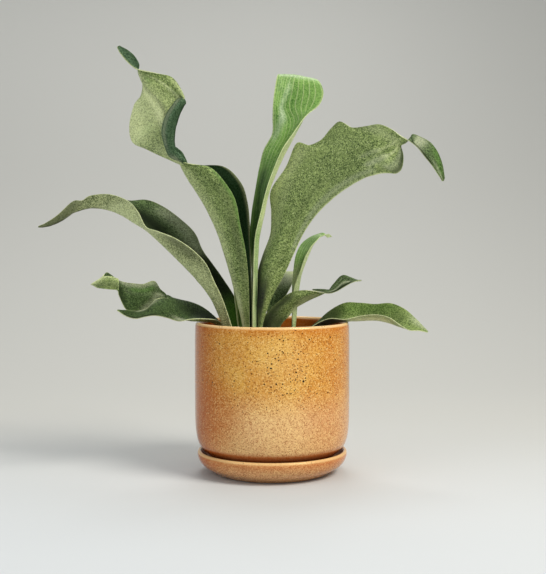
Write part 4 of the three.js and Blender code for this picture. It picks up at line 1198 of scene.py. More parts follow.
class Sheet:
    """A blade in space, grown strip by strip, then given its thickness, margins and tones."""

    THINNER = 0.75  # thickness of the margins, as a share
    CALMER = 0.4  # unevenness of the margins, as a share
    WAVES = ((0.11, 1.0), (0.27, 0.5))  # pitch and strength of the unevenness
    UV_LENGTH = 100.0  # millimetres along the blade for one unit of its UV map
    FAINT = 0.05  # a stroke that is nowhere stronger misses the blade, and is reported

    def __init__(self, bend: Optional[Bend]) -> None:
        """Starts an empty sheet.

        Args:
            bend: The frond's sweep forwards or back, if any.
        """
        self.bend = bend
        self.points: list[np.ndarray] = []
        self.halves: list[float] = []
        self.places: list[tuple[int, float, float, float]] = []  # part, share across, row, millimetres along
        self.quads: list[tuple[int, int, int, int]] = []

    def spread(self, row: Row, columns: int) -> np.ndarray:
        """The points of one row, spread evenly from margin to margin."""
        stops = ROW_LEVEL + [self.bend.place(p) if self.bend else p for p in row]
        return np.array([along(stops, j / columns * (len(row) - 1)) for j in range(columns + 1)])

    def add_line(self, line: np.ndarray, part: int, row: float, thickness: float, reach: float) -> list[int]:
        """Adds one line of vertices across the blade.

        Args:
            line: Their points.
            part: The number of their strip.
            row: Their row number.
            thickness: The blade's thickness there.
            reach: How far along the blade they are, in millimetres.

        Returns:
            The numbers of the vertices.
        """
        first = len(self.points)
        columns = len(line) - 1
        for j, point in enumerate(line):
            self.points.append(point)
            self.halves.append(thickness / 2)
            self.places.append((part, j / columns, row, reach))
        return list(range(first, first + columns + 1))

    def strip(
        self, rows: Sequence[Row], columns: int, steps: int, thickness: Callable[[float], float], part: int,
        seam: Optional[list[int]] = None, before: Optional[np.ndarray] = None,
    ) -> tuple[list[int], np.ndarray]:
        """Adds a strip that follows rows.

        Args:
            rows: The rows that it goes through.
            columns: Quads across.
            steps: Quads from row to row.
            thickness: Gives the thickness at a row number.
            part: The number of the strip.
            seam: Vertices on which a fork begins.
            before: Points that give the direction in which a fork leaves the seam.

        Returns:
            The strip's last vertices, and the points of the row before the last.
        """
        spreads = [self.spread(row, columns) for row in rows]
        start, stops, reach = 0, np.array(spreads), 0.0
        if seam is not None:
            start, stops = 1, np.array([before, [self.points[i] for i in seam], *spreads])
            reach = self.places[seam[0]][3]
        last = stops[start]
        previous = seam or self.add_line(last, part, 0.0, thickness(0), reach)
        for k in range(1, (len(stops) - 1 - start) * steps + 1):
            at = k / steps
            line = along(stops, start + at)
            reach += float(np.linalg.norm(line - last, axis=1).mean())
            last = line
            ids = self.add_line(line, part, at, thickness(at), reach)
            self.quads += [(previous[j], previous[j + 1], ids[j + 1], ids[j]) for j in range(columns)]
            previous = ids
        return previous, spreads[-2]

    def rim(self) -> list[tuple[int, int]]:
        """Finds the directed edges that only one quad has.

        Returns:
            The two vertices of each.
        """
        edges: dict[tuple[int, int], None] = {}
        for quad in self.quads:
            for i, j in zip(quad, quad[1:] + quad[:1]):
                if (j, i) in edges:
                    del edges[(j, i)]
                else:
                    edges[(i, j)] = None
        return list(edges)

    def piece(
        self, name: str, accents: Sequence[Accent], ripple: float, margin_tone_and_highlight: float
    ) -> bpy.types.Object:
        """Makes the closed mesh, with upper, under and margin faces as materials 0, 1 and 2.

        Args:
            name: The piece's name.
            accents: The strokes painted on it.
            ripple: Height of the blade's small unevenness, in millimetres.
            margin_tone_and_highlight: Strength of the pale line along the margins.

        Returns:
            The mesh object.
        """
        points = np.array(self.points)
        halves = np.array(self.halves)
        quads = np.array(self.quads)
        rim = self.rim()
        edge = np.zeros(len(points), bool)
        edge[[i for pair in rim for i in pair]] = True

        normals = np.zeros_like(points)
        a, b, c, d = (points[quads[:, k]] for k in range(4))
        diagonal = np.cross(c - a, d - b)
        for k in range(4):
            np.add.at(normals, quads[:, k], diagonal)
        normals /= np.maximum(np.linalg.norm(normals, axis=1, keepdims=True), 1e-9)
        waves = np.array([sum(s * noise.noise(Vector(p) * f) for f, s in self.WAVES) for p in points])
        points = points + normals * (ripple * waves * np.where(edge, self.CALMER, 1.0))[:, None]
        reach_out = normals * np.where(edge, halves * self.THINNER, halves)[:, None]

        count = len(points)
        upper = [tuple(q) for q in quads.tolist()]
        under = [tuple(i + count for i in reversed(q)) for q in upper]
        margin = [(j, i, i + count, j + count) for i, j in rim]
        both = np.concatenate((points + reach_out, points - reach_out))
        made = make_piece(name, both, upper + under + margin)
        mesh = made.data
        slots = np.repeat(np.arange(3), (len(upper), len(under), len(margin)))
        mesh.polygons.foreach_set("material_index", slots.astype(np.int32))

        corners = {frozenset(pair) for pair in rim} | {frozenset((i + count, j + count)) for i, j in rim}
        sharp = mesh.attributes.new("sharp_edge", "BOOLEAN", "EDGE")
        sharp.data.foreach_set("value", [frozenset(e.vertices) in corners for e in mesh.edges])

        part, across, row, reach = np.array(self.places).T
        mapped = np.tile(np.stack((across, reach / self.UV_LENGTH), -1), (2, 1))
        order = np.zeros(len(mesh.loops), np.int32)
        mesh.loops.foreach_get("vertex_index", order)
        layer = mesh.uv_layers.new(name="blade")
        layer.data.foreach_set("uv", mapped[order].astype(np.float32).ravel())
        for tone in Tone:
            clear = np.ones((2, count))
            # The margins' pale line: their own paler tone and a painted highlight on the edge.
            if tone is Tone.PALE_AND_LIGHT:
                clear[:, edge] = 1 - margin_tone_and_highlight
            for accent in accents:
                if accent.tone is not tone:
                    continue
                there = np.where(part == accent.part, accent.weight(across, row), 0.0)
                if there.max() < self.FAINT:
                    log.warning("%s: the %s misses the blade", name, accent.mark)
                if accent.face is not Face.UNDER:
                    clear[0] *= 1 - there
                if accent.face is not Face.UPPER:
                    clear[1] *= 1 - there
            attribute = mesh.attributes.new(tone.value, "FLOAT", "POINT")
            attribute.data.foreach_set("value", (1 - clear).astype(np.float32).ravel())
        return made


@dataclass(frozen=True)
class Skin:
    """The living skin of one side of a staghorn fern's blade.

    The under side is felted with starry white hairs, so the eye sees a pale olive ground peppered
    with dark green; the upper side is a smoother, darker green under a thin silver bloom.
    """

    name: str
    light: str
    dark: str
    grain: float = 0.7  # millimetres, drawn coarser than the real hairs so that it shows
    grain_share: float = 0.82
    tufts: float = 0.4  # share of the pale hairs that catch the light
    patch: float = 14.0  # millimetres, size of the broad patches
    # Pale colours the hairs, the veins and the pale strokes, which also paint light; the deep strokes paint
    # dark marks and painted shade, the silver ones the silver bloom and painted sheen.
    pale: str = "#cfd8a0"
    deep: str = "#0c1506"
    green: str = "#54862a"
    silver: str = "#a9b090"
    roughness: float = 0.62
    gloss: float = 0.3  # specular level
    felt: float = 0.12  # weight of the hairs' sheen
    glow: float = 0.12  # weight of the light that goes through
    streaks: float = 0.2  # share of the fine lines along the blade
    veins: float = 0.0  # strength of pale veins
    vein_pairs: float = 11.0  # veins from margin to margin

    def material(self) -> bpy.types.Material:
        """Builds the skin.

        Returns:
            The material.
        """
        material, tree, shader = new_material(self.name, self.light, {
            "Roughness": self.roughness, "Specular IOR Level": self.gloss,
            "Sheen Weight": self.felt, "Sheen Roughness": 0.5,
            "Subsurface Weight": self.glow, "Subsurface Radius": (1.0, 1.0, 0.4), "Subsurface Scale": 0.001,
        })
        place = add_node(tree, "ShaderNodeTexCoord").outputs["Object"]
        sheet = add_node(tree, "ShaderNodeUVMap", uv_map="blade").outputs[0]
        patches = add_node(
            tree, "ShaderNodeTexNoise", {"Vector": place, "Scale": 0.6 / (self.patch * MM), "Detail": 2.0}
        )
        broad = add_node(
            tree, "ShaderNodeMapRange", {"Value": patches.outputs[0], "From Min": 0.35, "From Max": 0.65}
        )
        drawn = add_node(tree, "ShaderNodeMapping", {"Vector": sheet, "Scale": (34.0, 6.0, 1.0)})
        lines = add_node(
            tree, "ShaderNodeTexNoise", {"Vector": drawn.outputs[0], "Scale": 1.0, "Detail": 3.0}
        )
        streak = add_node(
            tree, "ShaderNodeMapRange", {"Value": lines.outputs[0], "From Min": 0.36, "From Max": 0.64}
        )
        grain = peppered(tree, place, self.grain)
        fine = add_node(tree, "ShaderNodeMapRange", {"Value": grain, "From Min": 0.12, "From Max": 0.84})
        soft = add_node(
            tree, "ShaderNodeMix",
            {0: self.streaks, 2: broad.outputs[0], 3: streak.outputs[0]}, data_type="FLOAT",
        )
        share = add_node(
            tree, "ShaderNodeMix",
            {0: self.grain_share, 2: soft.outputs[0], 3: fine.outputs[0]}, data_type="FLOAT",
        )
        ground = add_node(
            tree, "ShaderNodeMix",
            {0: share.outputs[0], 6: to_linear(self.dark), 7: to_linear(self.light)}, data_type="RGBA",
        ).outputs[2]
        ground = lay_coats(tree, ground, ((grain, 0.8, 0.95, self.tufts, self.pale),))
        if self.veins > 0:
            # Veins run along the blade and fork a little on their way.
            wander = add_node(tree, "ShaderNodeTexNoise", {"Vector": sheet, "Scale": 2.4, "Detail": 1.0})
            drift = add_node(tree, "ShaderNodeMath", {0: wander.outputs[0], 1: 1.2}, operation="MULTIPLY")
            parts = add_node(tree, "ShaderNodeSeparateXYZ", {0: sheet})
            comb = add_node(
                tree, "ShaderNodeMath", {0: parts.outputs[0], 1: self.vein_pairs, 2: drift.outputs[0]},
                operation="MULTIPLY_ADD",
            )
            ridge = add_node(tree, "ShaderNodeMath", {0: comb.outputs[0], 1: 0.5}, operation="PINGPONG")
            ground = lay_coats(tree, ground, ((ridge.outputs[0], 0.36, 0.5, self.veins, self.pale),))
        spotted = add_node(
            tree, "ShaderNodeMapRange",
            {"Value": grain, "From Min": 0.2, "From Max": 0.7, "To Min": 0.65, "To Max": 1.0},
        )
        # Strokes of painted light, shade and sheen, and of the blade's own marks.
        mark_and_light_hues = {Tone.DARK_AND_SHADE: self.deep, Tone.GREEN: self.green, Tone.SILVER_AND_SHEEN: self.silver, Tone.PALE_AND_LIGHT: self.pale}
        for tone, hue in mark_and_light_hues.items():
            stroke = add_node(tree, "ShaderNodeAttribute", attribute_name=tone.value)
            weight = add_node(
                tree, "ShaderNodeMath", {0: stroke.outputs["Fac"], 1: spotted.outputs[0]},
                operation="MULTIPLY",
            )
            ground = lay_coats(tree, ground, ((weight.outputs[0], 0.0, 1.0, 1.0, hue),))
        tree.links.new(ground, shader.inputs["Base Color"])
        bump = add_node(tree, "ShaderNodeBump", {"Strength": 0.3, "Distance": 0.0004, "Height": grain})
        tree.links.new(bump.outputs[0], shader.inputs["Normal"])
        return material


@dataclass
class Frond:
    """One frond: its blade, its foot in the crown and its three skins."""

    name: str
    node: str
    shape: Shape
    slot: str
    upper: Skin
    under: Skin
    margin: Skin
    accents: tuple[Accent, ...] = ()
    across: int = 40  # quads from margin to margin
    lobe_across: int = 12
    steps: int = 8  # quads from row to row
    taper: float = 0.25  # millimetres that the stalk thins from row to row
    ripple: float = 0.25
    # Strength of the margins' pale line: their own paler tone and a painted highlight on the edge.
    margin_tone_and_highlight: float = 0.4
    dome: float = 1.6  # height of the foot's rounding
    foot_sides: int = 24

    def thickness(self, at: float) -> float:
        """Thickness of the stalk and blade at a row number."""
        return max(BLADE, STALK - self.taper * at)

    def build(self) -> None:
        """Grows, paints and dresses the frond."""
        shape = self.shape
        fine = self.across // shape.columns
        sheet = Sheet(shape.bend)
        seam, before = sheet.strip(shape.rows, shape.columns * fine, self.steps, self.thickness, 0)
        for part, fork in enumerate(shape.forks, 1):
            first, last = fork.start * fine, fork.end * fine
            sheet.strip(
                fork.rows, last - first, self.steps, lambda at: BLADE, part, seam[first : last + 1],
                before[first : last + 1],
            )
        for part, rows in enumerate(shape.lobes, 1 + len(shape.forks)):
            sheet.strip(rows, self.lobe_across, self.steps, lambda at: BLADE, part)
        piece = sheet.piece(self.name, self.accents, self.ripple, self.margin_tone_and_highlight)
        for skin in (self.upper, self.under, self.margin):
            piece.data.materials.append(skin.material())
        if shape.peg:
            self.add_foot(piece, *shape.peg)
        settle(piece, self.slot, self.node)

    def add_foot(self, piece: bpy.types.Object, x: float, y: float, r: float) -> None:
        """Joins the small domed foot on which the stalk stands in the crown.

        Args:
            piece: The frond.
            x: The foot's place across.
            y: Its place from front to back.
            r: Its radius.
        """
        profile = (
            (0, FOOT_LOW), (r, FOOT_LOW), (r, FOOT_HIGH - self.dome), (r * 0.75, FOOT_HIGH - 0.6),
            (0, FOOT_HIGH),
        )
        foot = turned_piece("foot", rounded_profile(profile, False), False, self.foot_sides)
        mesh = bmesh.new()
        mesh.from_mesh(piece.data)
        old_verts, old_faces = len(mesh.verts), len(mesh.faces)
        mesh.from_mesh(foot.data)
        mesh.verts.ensure_lookup_table()
        mesh.faces.ensure_lookup_table()
        for vert in mesh.verts[old_verts:]:
            vert.co += Vector((x, y, 0)) * MM
        for face in mesh.faces[old_faces:]:
            face.material_index = 1
        mesh.to_mesh(piece.data)
        mesh.free()
        bpy.data.objects.remove(foot)


# Finishes of the fronds

FELT_UNDER = Skin("felted_underside", "#a1b569", "#1f3c00")
GREY_UNDER = replace(FELT_UNDER, name="grey_felted_underside", light="#bec58c", dark="#34480c")
BLOOM_UPPER = Skin(
    "bloomed_upper_side", "#627849", "#102008", tufts=0.04, roughness=0.6, gloss=0.08, felt=0.0, streaks=0.4
)
# A bluer copy of the bloomed upper side for the tall frond; its near-black deep colour paints the shade on
# its far half and flap.
FLAP_UPPER = replace(
    BLOOM_UPPER, name="dark_bloomed_upper_side", light="#607b5c", dark="#112a16", deep="#051a02", gloss=0.03
)
SHADY_UPPER = replace(BLOOM_UPPER, name="shady_bloomed_upper_side", light="#4e6439", dark="#091703")
LEAFY_UPPER = replace(
    BLOOM_UPPER, name="green_upper_side", light="#8b9e5a", dark="#284010", silver="#b4bb98"
)
FELT_MARGIN = Skin("felted_margin", "#d2d6ae", "#9ba670")
YOUNG_UPPER = Skin(
    "young_upper_side", "#92ba60", "#386816", grain_share=0.5, tufts=0.0, deep="#143a08", green="#3f8a1c",
    silver="#bccfa8", roughness=0.5, felt=0.05, glow=0.25, streaks=0.3, veins=0.4,
)
YOUNG_UNDER = replace(YOUNG_UPPER, name="young_underside", light="#bccd96", dark="#64883c", roughness=0.6)
YOUNG_MARGIN = Skin("young_margin", "#d8e2b0", "#a9c07a")
DRY_SHIELD = Skin(
    "papery_shield", "#9c8150", "#5a4522", grain=1.2, grain_share=0.4, tufts=0.1, pale="#c3a873",
    roughness=0.85, felt=0.05, glow=0.0, streaks=0.6, veins=0.5,
)

UPPER, UNDER, BOTH = Face.UPPER, Face.UNDER, Face.BOTH
PALE_AND_LIGHT, DARK_AND_SHADE, GREEN, SILVER_AND_SHEEN = Tone.PALE_AND_LIGHT, Tone.DARK_AND_SHADE, Tone.GREEN, Tone.SILVER_AND_SHEEN

TALL_LEFT_TONES = (
    Accent("shade of the left half", DARK_AND_SHADE, (0.1, 1.2), (0.1, 6.6), 0.2, 1.0, 0.5, UNDER),
    Accent("light on the right half", PALE_AND_LIGHT, (0.72, 0.6), (0.75, 9.5), 0.2, 1.0, 0.72, UNDER),
    Accent("shade across the middle", DARK_AND_SHADE, (0.3, 3.2), (0.3, 5.0), 0.12, 0.8, 0.35, UNDER),
    Accent("light on the foot", PALE_AND_LIGHT, (0.5, 0.2), (0.6, 1.6), 0.22, 0.8, 0.9, UNDER),
    Accent("light under the twist", PALE_AND_LIGHT, (0.85, 8.4), (0.9, 10.6), 0.14, 0.8, 0.45, UNDER),
    Accent("light beside the fold", PALE_AND_LIGHT, (0.25, 15.2), (0.15, 16.5), 0.14, 0.8, 0.5, UNDER),
    # Painted highlight and painted shade stand in for a crease that the blade does not have.
    Accent("painted highlight on the crease", PALE_AND_LIGHT, (0.75, 12.3), (0.90, 18.7), 0.03, 0.6, 1.0, UNDER),
    Accent("painted shade beside the crease", DARK_AND_SHADE, (0.70, 12.5), (0.85, 18.5), 0.025, 0.5, 0.7, UNDER),
    # Painted highlight near the left edge.
    Accent("painted highlight near the left edge", PALE_AND_LIGHT, (0.96, 12.2), (0.96, 14.4), 0.09, 0.8, 0.6, UNDER),
    Accent("dark edge", DARK_AND_SHADE, (1.0, 10.6), (1.0, 14.2), 0.02, 0.4, 0.8, UNDER),
    # Painted highlight along the fold.
    Accent("painted highlight along the fold", PALE_AND_LIGHT, (0.52, 13.5), (0.52, 17.5), 0.04, 0.5, 0.5, UNDER),
    # Painted light on the upper blade, which faces up to the left.
    Accent("painted light on the upper blade", PALE_AND_LIGHT, (0.85, 12.5), (0.9, 18.0), 0.3, 1.2, 0.55, UNDER),
    Accent("green spots", GREEN, (0.68, 17.0), (0.68, 17.2), 0.05, 0.5, 0.6, UNDER),
    Accent("green spot", GREEN, (0.90, 12.1), (0.90, 12.2), 0.07, 0.35, 0.6, UNDER),
    Accent("greener strip", GREEN, (0.02, 4.6), (0.02, 7.4), 0.1, 0.9, 0.6, UNDER),
    # Painted shade on the flap.
    Accent("painted shade on the flap", DARK_AND_SHADE, (0.30, 11.0), (0.35, 14.0), 0.1, 1.2, 0.5, UPPER),
    Accent("light on the flap", SILVER_AND_SHEEN, (0.10, 14.6), (0.12, 11.6), 0.1, 0.8, 0.5, UPPER),
    Accent("silvery foot of the flap", SILVER_AND_SHEEN, (0.12, 9.2), (0.16, 10.0), 0.14, 0.5, 0.6, UPPER),
    # Painted shade in the flap's fold.
    Accent("painted shade in the flap's fold", DARK_AND_SHADE, (0.44, 14.5), (0.46, 11.0), 0.05, 0.5, 0.7, UPPER),
    Accent("far half in shade", DARK_AND_SHADE, (0.9, 0.5), (0.85, 8.2), 0.45, 1.0, 1.0, UPPER),
    Accent("dark far edge", DARK_AND_SHADE, (1.0, 0.5), (1.0, 8.6), 0.04, 0.6, 0.9, BOTH),
    # The right margin's paler tone with a painted highlight along it.
    Accent("right margin's pale tone and painted highlight", PALE_AND_LIGHT, (0.95, 2.0), (0.97, 9.0), 0.03, 0.5, 0.5, UNDER),
    Accent("pale lower edge of the tip", PALE_AND_LIGHT, (0.0, 19.0), (0.0, 23.0), 0.14, 0.6, 0.6, UPPER),
    Accent("dark end of the tip", DARK_AND_SHADE, (0.85, 19.5), (0.85, 22.5), 0.3, 1.2, 0.5, UPPER),
    Accent("dark lobe", DARK_AND_SHADE, (0.6, 0.5), (0.6, 2.0), 0.4, 1.0, 0.5, BOTH, 1),
)
LONG_LEFT_TONES = (
    Accent("light on the top", PALE_AND_LIGHT, (0.25, 7.0), (0.25, 9.6), 0.4, 0.9, 0.7, UNDER),
    Accent("light on the left edge", PALE_AND_LIGHT, (0.6, 1.2), (0.5, 6.0), 0.2, 1.0, 0.75, UNDER),
    Accent("dark tip", DARK_AND_SHADE, (0.3, 14.0), (0.3, 17.0), 0.6, 1.8, 0.62, UNDER),
    Accent("light on the near half", PALE_AND_LIGHT, (0.2, 2.4), (0.25, 3.6), 0.25, 0.8, 0.5, UNDER),
    Accent("shade of the near half", DARK_AND_SHADE, (0.1, 4.8), (0.1, 6.0), 0.14, 0.7, 0.5, UNDER),
    # Painted shade where the lower edge turns down.
    Accent("painted shade on the lower edge", DARK_AND_SHADE, (0.52, 10.8), (0.52, 16.0), 0.1, 0.5, 0.75, UNDER),
    Accent("green foot of the far half", GREEN, (0.95, 0.2), (0.9, 1.4), 0.2, 0.7, 0.8, UPPER),
    Accent("far half low", DARK_AND_SHADE, (0.85, 2.7), (0.78, 4.4), 0.3, 1.0, 0.95, UPPER),
    # Painted shade along the fold inside the channel.
    Accent("painted shade along the channel's fold", DARK_AND_SHADE, (0.66, 4.2), (0.68, 8.2), 0.14, 0.8, 0.85, UPPER),
    Accent("silver on the far half", SILVER_AND_SHEEN, (0.93, 5.3), (0.93, 7.4), 0.12, 0.8, 0.55, UPPER),
    Accent("dark upper edge", DARK_AND_SHADE, (1.0, 4.0), (1.0, 9.5), 0.03, 0.5, 0.7, UPPER),
)
LOW_LEFT_TONES = (
    Accent("silver rays", SILVER_AND_SHEEN, (0.65, 1.7), (0.15, 3.6), 0.15, 0.7, 0.5, UPPER, 2),
    Accent("green middle", GREEN, (0.78, 3.3), (0.78, 5.0), 0.15, 0.8, 0.4, UPPER, 2),
    # Brighter green on a hump that the blade does not have: its colour and painted light.
    Accent("hump's green and painted light", GREEN, (0.96, 2.9), (0.96, 3.1), 0.08, 0.6, 0.3, UPPER, 2),
    Accent("silver right edge", SILVER_AND_SHEEN, (0.95, 3.0), (0.95, 6.6), 0.12, 0.8, 0.6, UPPER, 2),
    # Painted shade beside the folded tip.
    Accent("painted shade before the fold", DARK_AND_SHADE, (0.2, 6.6), (0.5, 7.4), 0.3, 0.9, 0.6, UPPER, 2),
    # Painted sheen by the ridge.
    Accent("painted sheen by the ridge", SILVER_AND_SHEEN, (0.66, 1.6), (0.68, 6.4), 0.1, 0.8, 0.22, UPPER, 2),
    # Painted shade in the hollow.
    Accent("painted shade in the hollow", DARK_AND_SHADE, (0.3, 1.4), (0.24, 3.2), 0.14, 0.8, 0.5, UPPER, 2),
    Accent("light on the fold", PALE_AND_LIGHT, (0.0, 10.3), (0.7, 10.5), 0.3, 0.8, 1.0, UNDER, 2),
    Accent("pale folded edge", PALE_AND_LIGHT, (0.95, 10.5), (0.95, 12.5), 0.15, 1.0, 0.45, UNDER, 2),
    Accent("dark folded tip", DARK_AND_SHADE, (0.4, 11.6), (0.4, 12.6), 0.5, 1.2, 0.55, UNDER, 2),
    # The fork's pale margin with a painted highlight along it, here and in the next stroke.
    Accent("fork margin's pale tone and painted highlight", SILVER_AND_SHEEN, (0.88, 1.5), (0.95, 2.6), 0.2, 0.7, 0.75, UPPER, 1),
    Accent("fork edge's pale line and painted highlight", PALE_AND_LIGHT, (0.99, 0.9), (0.99, 3.4), 0.05, 0.5, 0.7, BOTH, 1),
    Accent("dark lower fork", DARK_AND_SHADE, (0.3, 2.4), (0.3, 4.0), 0.5, 1.0, 0.3, UPPER, 1),
    Accent("dark edge of the fork", DARK_AND_SHADE, (0.02, 1.4), (0.02, 3.4), 0.1, 0.7, 0.9, UPPER, 1),
    Accent("dark upper right", DARK_AND_SHADE, (0.6, 1.5), (0.6, 4.5), 0.25, 1.0, 0.5, UPPER),
    Accent("silver start", SILVER_AND_SHEEN, (0.12, 3.4), (0.1, 5.0), 0.12, 0.7, 0.6, UPPER),
    # Painted shade on the foot, down in the pot.
    Accent("painted shade on the foot", DARK_AND_SHADE, (0.5, 0.0), (0.5, 2.5), 0.6, 1.0, 0.6, UPPER),
)
CENTRE_TONES = (
    # Painted sheen in the channel, in two strokes.
    Accent("painted sheen in the channel", SILVER_AND_SHEEN, (0.44, 13.4), (0.28, 11.4), 0.09, 0.5, 0.5, UPPER),
    Accent("painted sheen in the channel", SILVER_AND_SHEEN, (0.28, 11.4), (0.10, 10.0), 0.09, 0.5, 0.5, UPPER),
    Accent("deep green below", DARK_AND_SHADE, (0.18, 4.4), (0.22, 7.6), 0.18, 0.8, 0.8, UPPER),
    # Painted shade deep in the fold.
    Accent("painted shade deep in the fold", DARK_AND_SHADE, (0.5, 5.4), (0.5, 6.8), 0.12, 0.7, 0.95, UPPER),
    Accent("light left foot", PALE_AND_LIGHT, (0.05, 1.0), (0.1, 3.2), 0.2, 0.7, 1.0, UPPER),
    # Painted highlight where the top bends back.
    Accent("painted highlight where the top bends back", SILVER_AND_SHEEN, (0.1, 14.6), (0.9, 14.6), 0.2, 0.5, 0.5, UPPER),
    Accent("pale left edge", PALE_AND_LIGHT, (0.02, 8.5), (0.02, 14.0), 0.02, 0.5, 0.6, UPPER),
    Accent("pale right strip", PALE_AND_LIGHT, (0.75, 5.9), (0.85, 9.6), 0.25, 0.8, 0.8, UNDER),
    Accent("shade beside the fold", DARK_AND_SHADE, (0.86, 2.8), (0.86, 4.4), 0.08, 0.7, 0.3, UNDER),
    Accent("green line", GREEN, (0.85, 3.0), (0.9, 10.0), 0.02, 0.5, 0.5, UNDER),
    Accent("shaded fold", DARK_AND_SHADE, (0.5, 1.0), (0.72, 2.2), 0.12, 0.7, 0.9, UNDER),
    Accent("pale stalk", PALE_AND_LIGHT, (0.95, 0.5), (0.95, 2.2), 0.12, 1.0, 0.5, BOTH),
)
BROAD_RIGHT_TONES = (
    # Painted highlights and sheen along the two ridges, and painted shade between them.
    Accent("ridge's painted highlight", PALE_AND_LIGHT, (0.28, 16.2), (0.29, 13.4), 0.025, 0.6, 0.75, UNDER),
    Accent("ridge's painted highlight", SILVER_AND_SHEEN, (0.29, 13.4), (0.20, 10.9), 0.05, 0.6, 0.6, UNDER),
    Accent("upper ridge's painted highlight", PALE_AND_LIGHT, (0.45, 16.4), (0.40, 13.1), 0.03, 0.6, 0.5, UNDER),
    Accent("upper ridge's painted highlight", SILVER_AND_SHEEN, (0.40, 13.1), (0.36, 11.3), 0.04, 0.6, 0.4, UNDER),
    Accent("painted shade between the ridges", DARK_AND_SHADE, (0.35, 14.6), (0.33, 12.4), 0.03, 0.6, 0.25, UNDER),
    # Painted sheen on the turned corner.
    Accent("painted sheen on the corner", SILVER_AND_SHEEN, (0.16, 15.8), (0.12, 12.6), 0.08, 0.8, 0.5, UNDER),
    Accent("shade in the corner", DARK_AND_SHADE, (0.08, 15.8), (0.06, 11.6), 0.1, 0.9, 0.5, UNDER),
    # Painted shade on the turned corner.
    Accent("painted shade on the turned corner", DARK_AND_SHADE, (0.02, 13.4), (0.08, 16.4), 0.05, 0.7, 0.6, UNDER),
    Accent("light on the top", PALE_AND_LIGHT, (0.4, 16.8), (0.9, 15.4), 0.4, 0.9, 0.4, UNDER),
    Accent("grey band", SILVER_AND_SHEEN, (0.08, 4.5), (0.09, 10.5), 0.06, 0.6, 0.5, UNDER),
    Accent("pale margin", PALE_AND_LIGHT, (0.0, 3.5), (0.0, 11.0), 0.02, 0.5, 0.7, UNDER),
    Accent("thin line", DARK_AND_SHADE, (0.035, 4.5), (0.035, 10.5), 0.012, 0.5, 0.5, UNDER),
    Accent("darker strip", DARK_AND_SHADE, (0.26, 4.2), (0.28, 7.0), 0.08, 1.0, 0.3, UNDER),
    Accent("light by the right edge", PALE_AND_LIGHT, (0.92, 4.6), (0.92, 8.4), 0.14, 0.9, 0.5, UNDER),
    Accent("dark upper edge", DARK_AND_SHADE, (0.99, 12.3), (0.99, 14.7), 0.02, 0.4, 0.6, UNDER),
    Accent("shade of the foot", DARK_AND_SHADE, (0.5, 2.0), (1.0, 2.3), 0.22, 1.0, 1.0, UNDER),
    Accent("shade of the foot's left", DARK_AND_SHADE, (0.0, 0.0), (0.08, 0.4), 0.12, 0.6, 0.95, UNDER),
    Accent("shade over the foot", DARK_AND_SHADE, (0.95, 2.6), (0.95, 3.8), 0.14, 0.7, 0.7, UNDER),
    Accent("light in the middle", PALE_AND_LIGHT, (0.7, 5.4), (0.7, 6.8), 0.12, 0.7, 0.3, UNDER),
    Accent("pale start of the tip", SILVER_AND_SHEEN, (0.2, 21.2), (0.7, 20.8), 0.3, 0.8, 0.75, UPPER),
    Accent("green tip", GREEN, (0.2, 23.0), (0.5, 24.0), 0.3, 0.8, 0.4, UPPER),
    Accent("pale left of the tip", SILVER_AND_SHEEN, (0.75, 23.4), (0.8, 24.4), 0.15, 0.8, 0.5, UPPER),
    Accent("dark left edge of the tip", DARK_AND_SHADE, (0.92, 19.4), (0.97, 22.4), 0.12, 0.6, 0.85, UPPER),
)
SMALL_RIGHT_TONES = (
    Accent("bright foot", PALE_AND_LIGHT, (0.2, 2.4), (0.2, 3.5), 0.3, 0.9, 1.0, UPPER),
    Accent("silvery bend", SILVER_AND_SHEEN, (0.3, 8.0), (0.69, 8.6), 0.3, 0.6, 0.35, UPPER),
    Accent("shade under the bend", DARK_AND_SHADE, (0.1, 6.2), (0.1, 7.8), 0.2, 0.7, 0.3, UPPER),
    Accent("dry spot", DARK_AND_SHADE, (0.40, 10.2), (0.42, 10.2), 0.12, 0.2, 0.9, BOTH),
    Accent("pale tip", PALE_AND_LIGHT, (0.5, 9.6), (0.5, 11.0), 0.5, 0.5, 0.4, UNDER),
    Accent("pale right strip", PALE_AND_LIGHT, (0.8, 1.0), (0.8, 6.0), 0.3, 1.0, 0.6, UNDER),
)
FORKED_RIGHT_TONES = (
    Accent("dark right half", DARK_AND_SHADE, (0.8, 0.4), (0.78, 3.4), 0.3, 0.9, 0.75, UNDER),
    # Painted shade on the foot and its bend, down in the pot.
    Accent("painted shade on the foot", DARK_AND_SHADE, (0.2, 0.8), (0.8, 0.4), 0.4, 1.0, 0.7, UNDER),
    Accent("painted shade on the bend of the foot", DARK_AND_SHADE, (0.25, 1.6), (0.5, 1.6), 0.25, 0.8, 0.45, UNDER),
    Accent("light on the bend", PALE_AND_LIGHT, (0.22, 4.5), (0.35, 5.6), 0.2, 0.8, 0.85, UNDER),
    Accent("pale left edge", PALE_AND_LIGHT, (0.02, 2.8), (0.1, 5.4), 0.12, 0.7, 0.75, UNDER),
    Accent("dark far lobe", DARK_AND_SHADE, (0.95, 7.4), (0.95, 10.0), 0.2, 1.0, 0.85, UPPER),
    Accent("dark middle of the far lobe", DARK_AND_SHADE, (0.3, 9.4), (0.3, 9.8), 0.15, 0.5, 0.4, UPPER),
    Accent("silver start of the far lobe", SILVER_AND_SHEEN, (0.3, 7.6), (0.3, 8.8), 0.1, 0.5, 0.3, UPPER),
    Accent("silver on the far lobe", SILVER_AND_SHEEN, (0.7, 7.6), (0.68, 9.6), 0.12, 0.5, 0.7, UPPER),
    Accent("dark prong", DARK_AND_SHADE, (0.5, 0.0), (0.5, 2.0), 1.0, 2.0, 0.3, BOTH, 1),
)
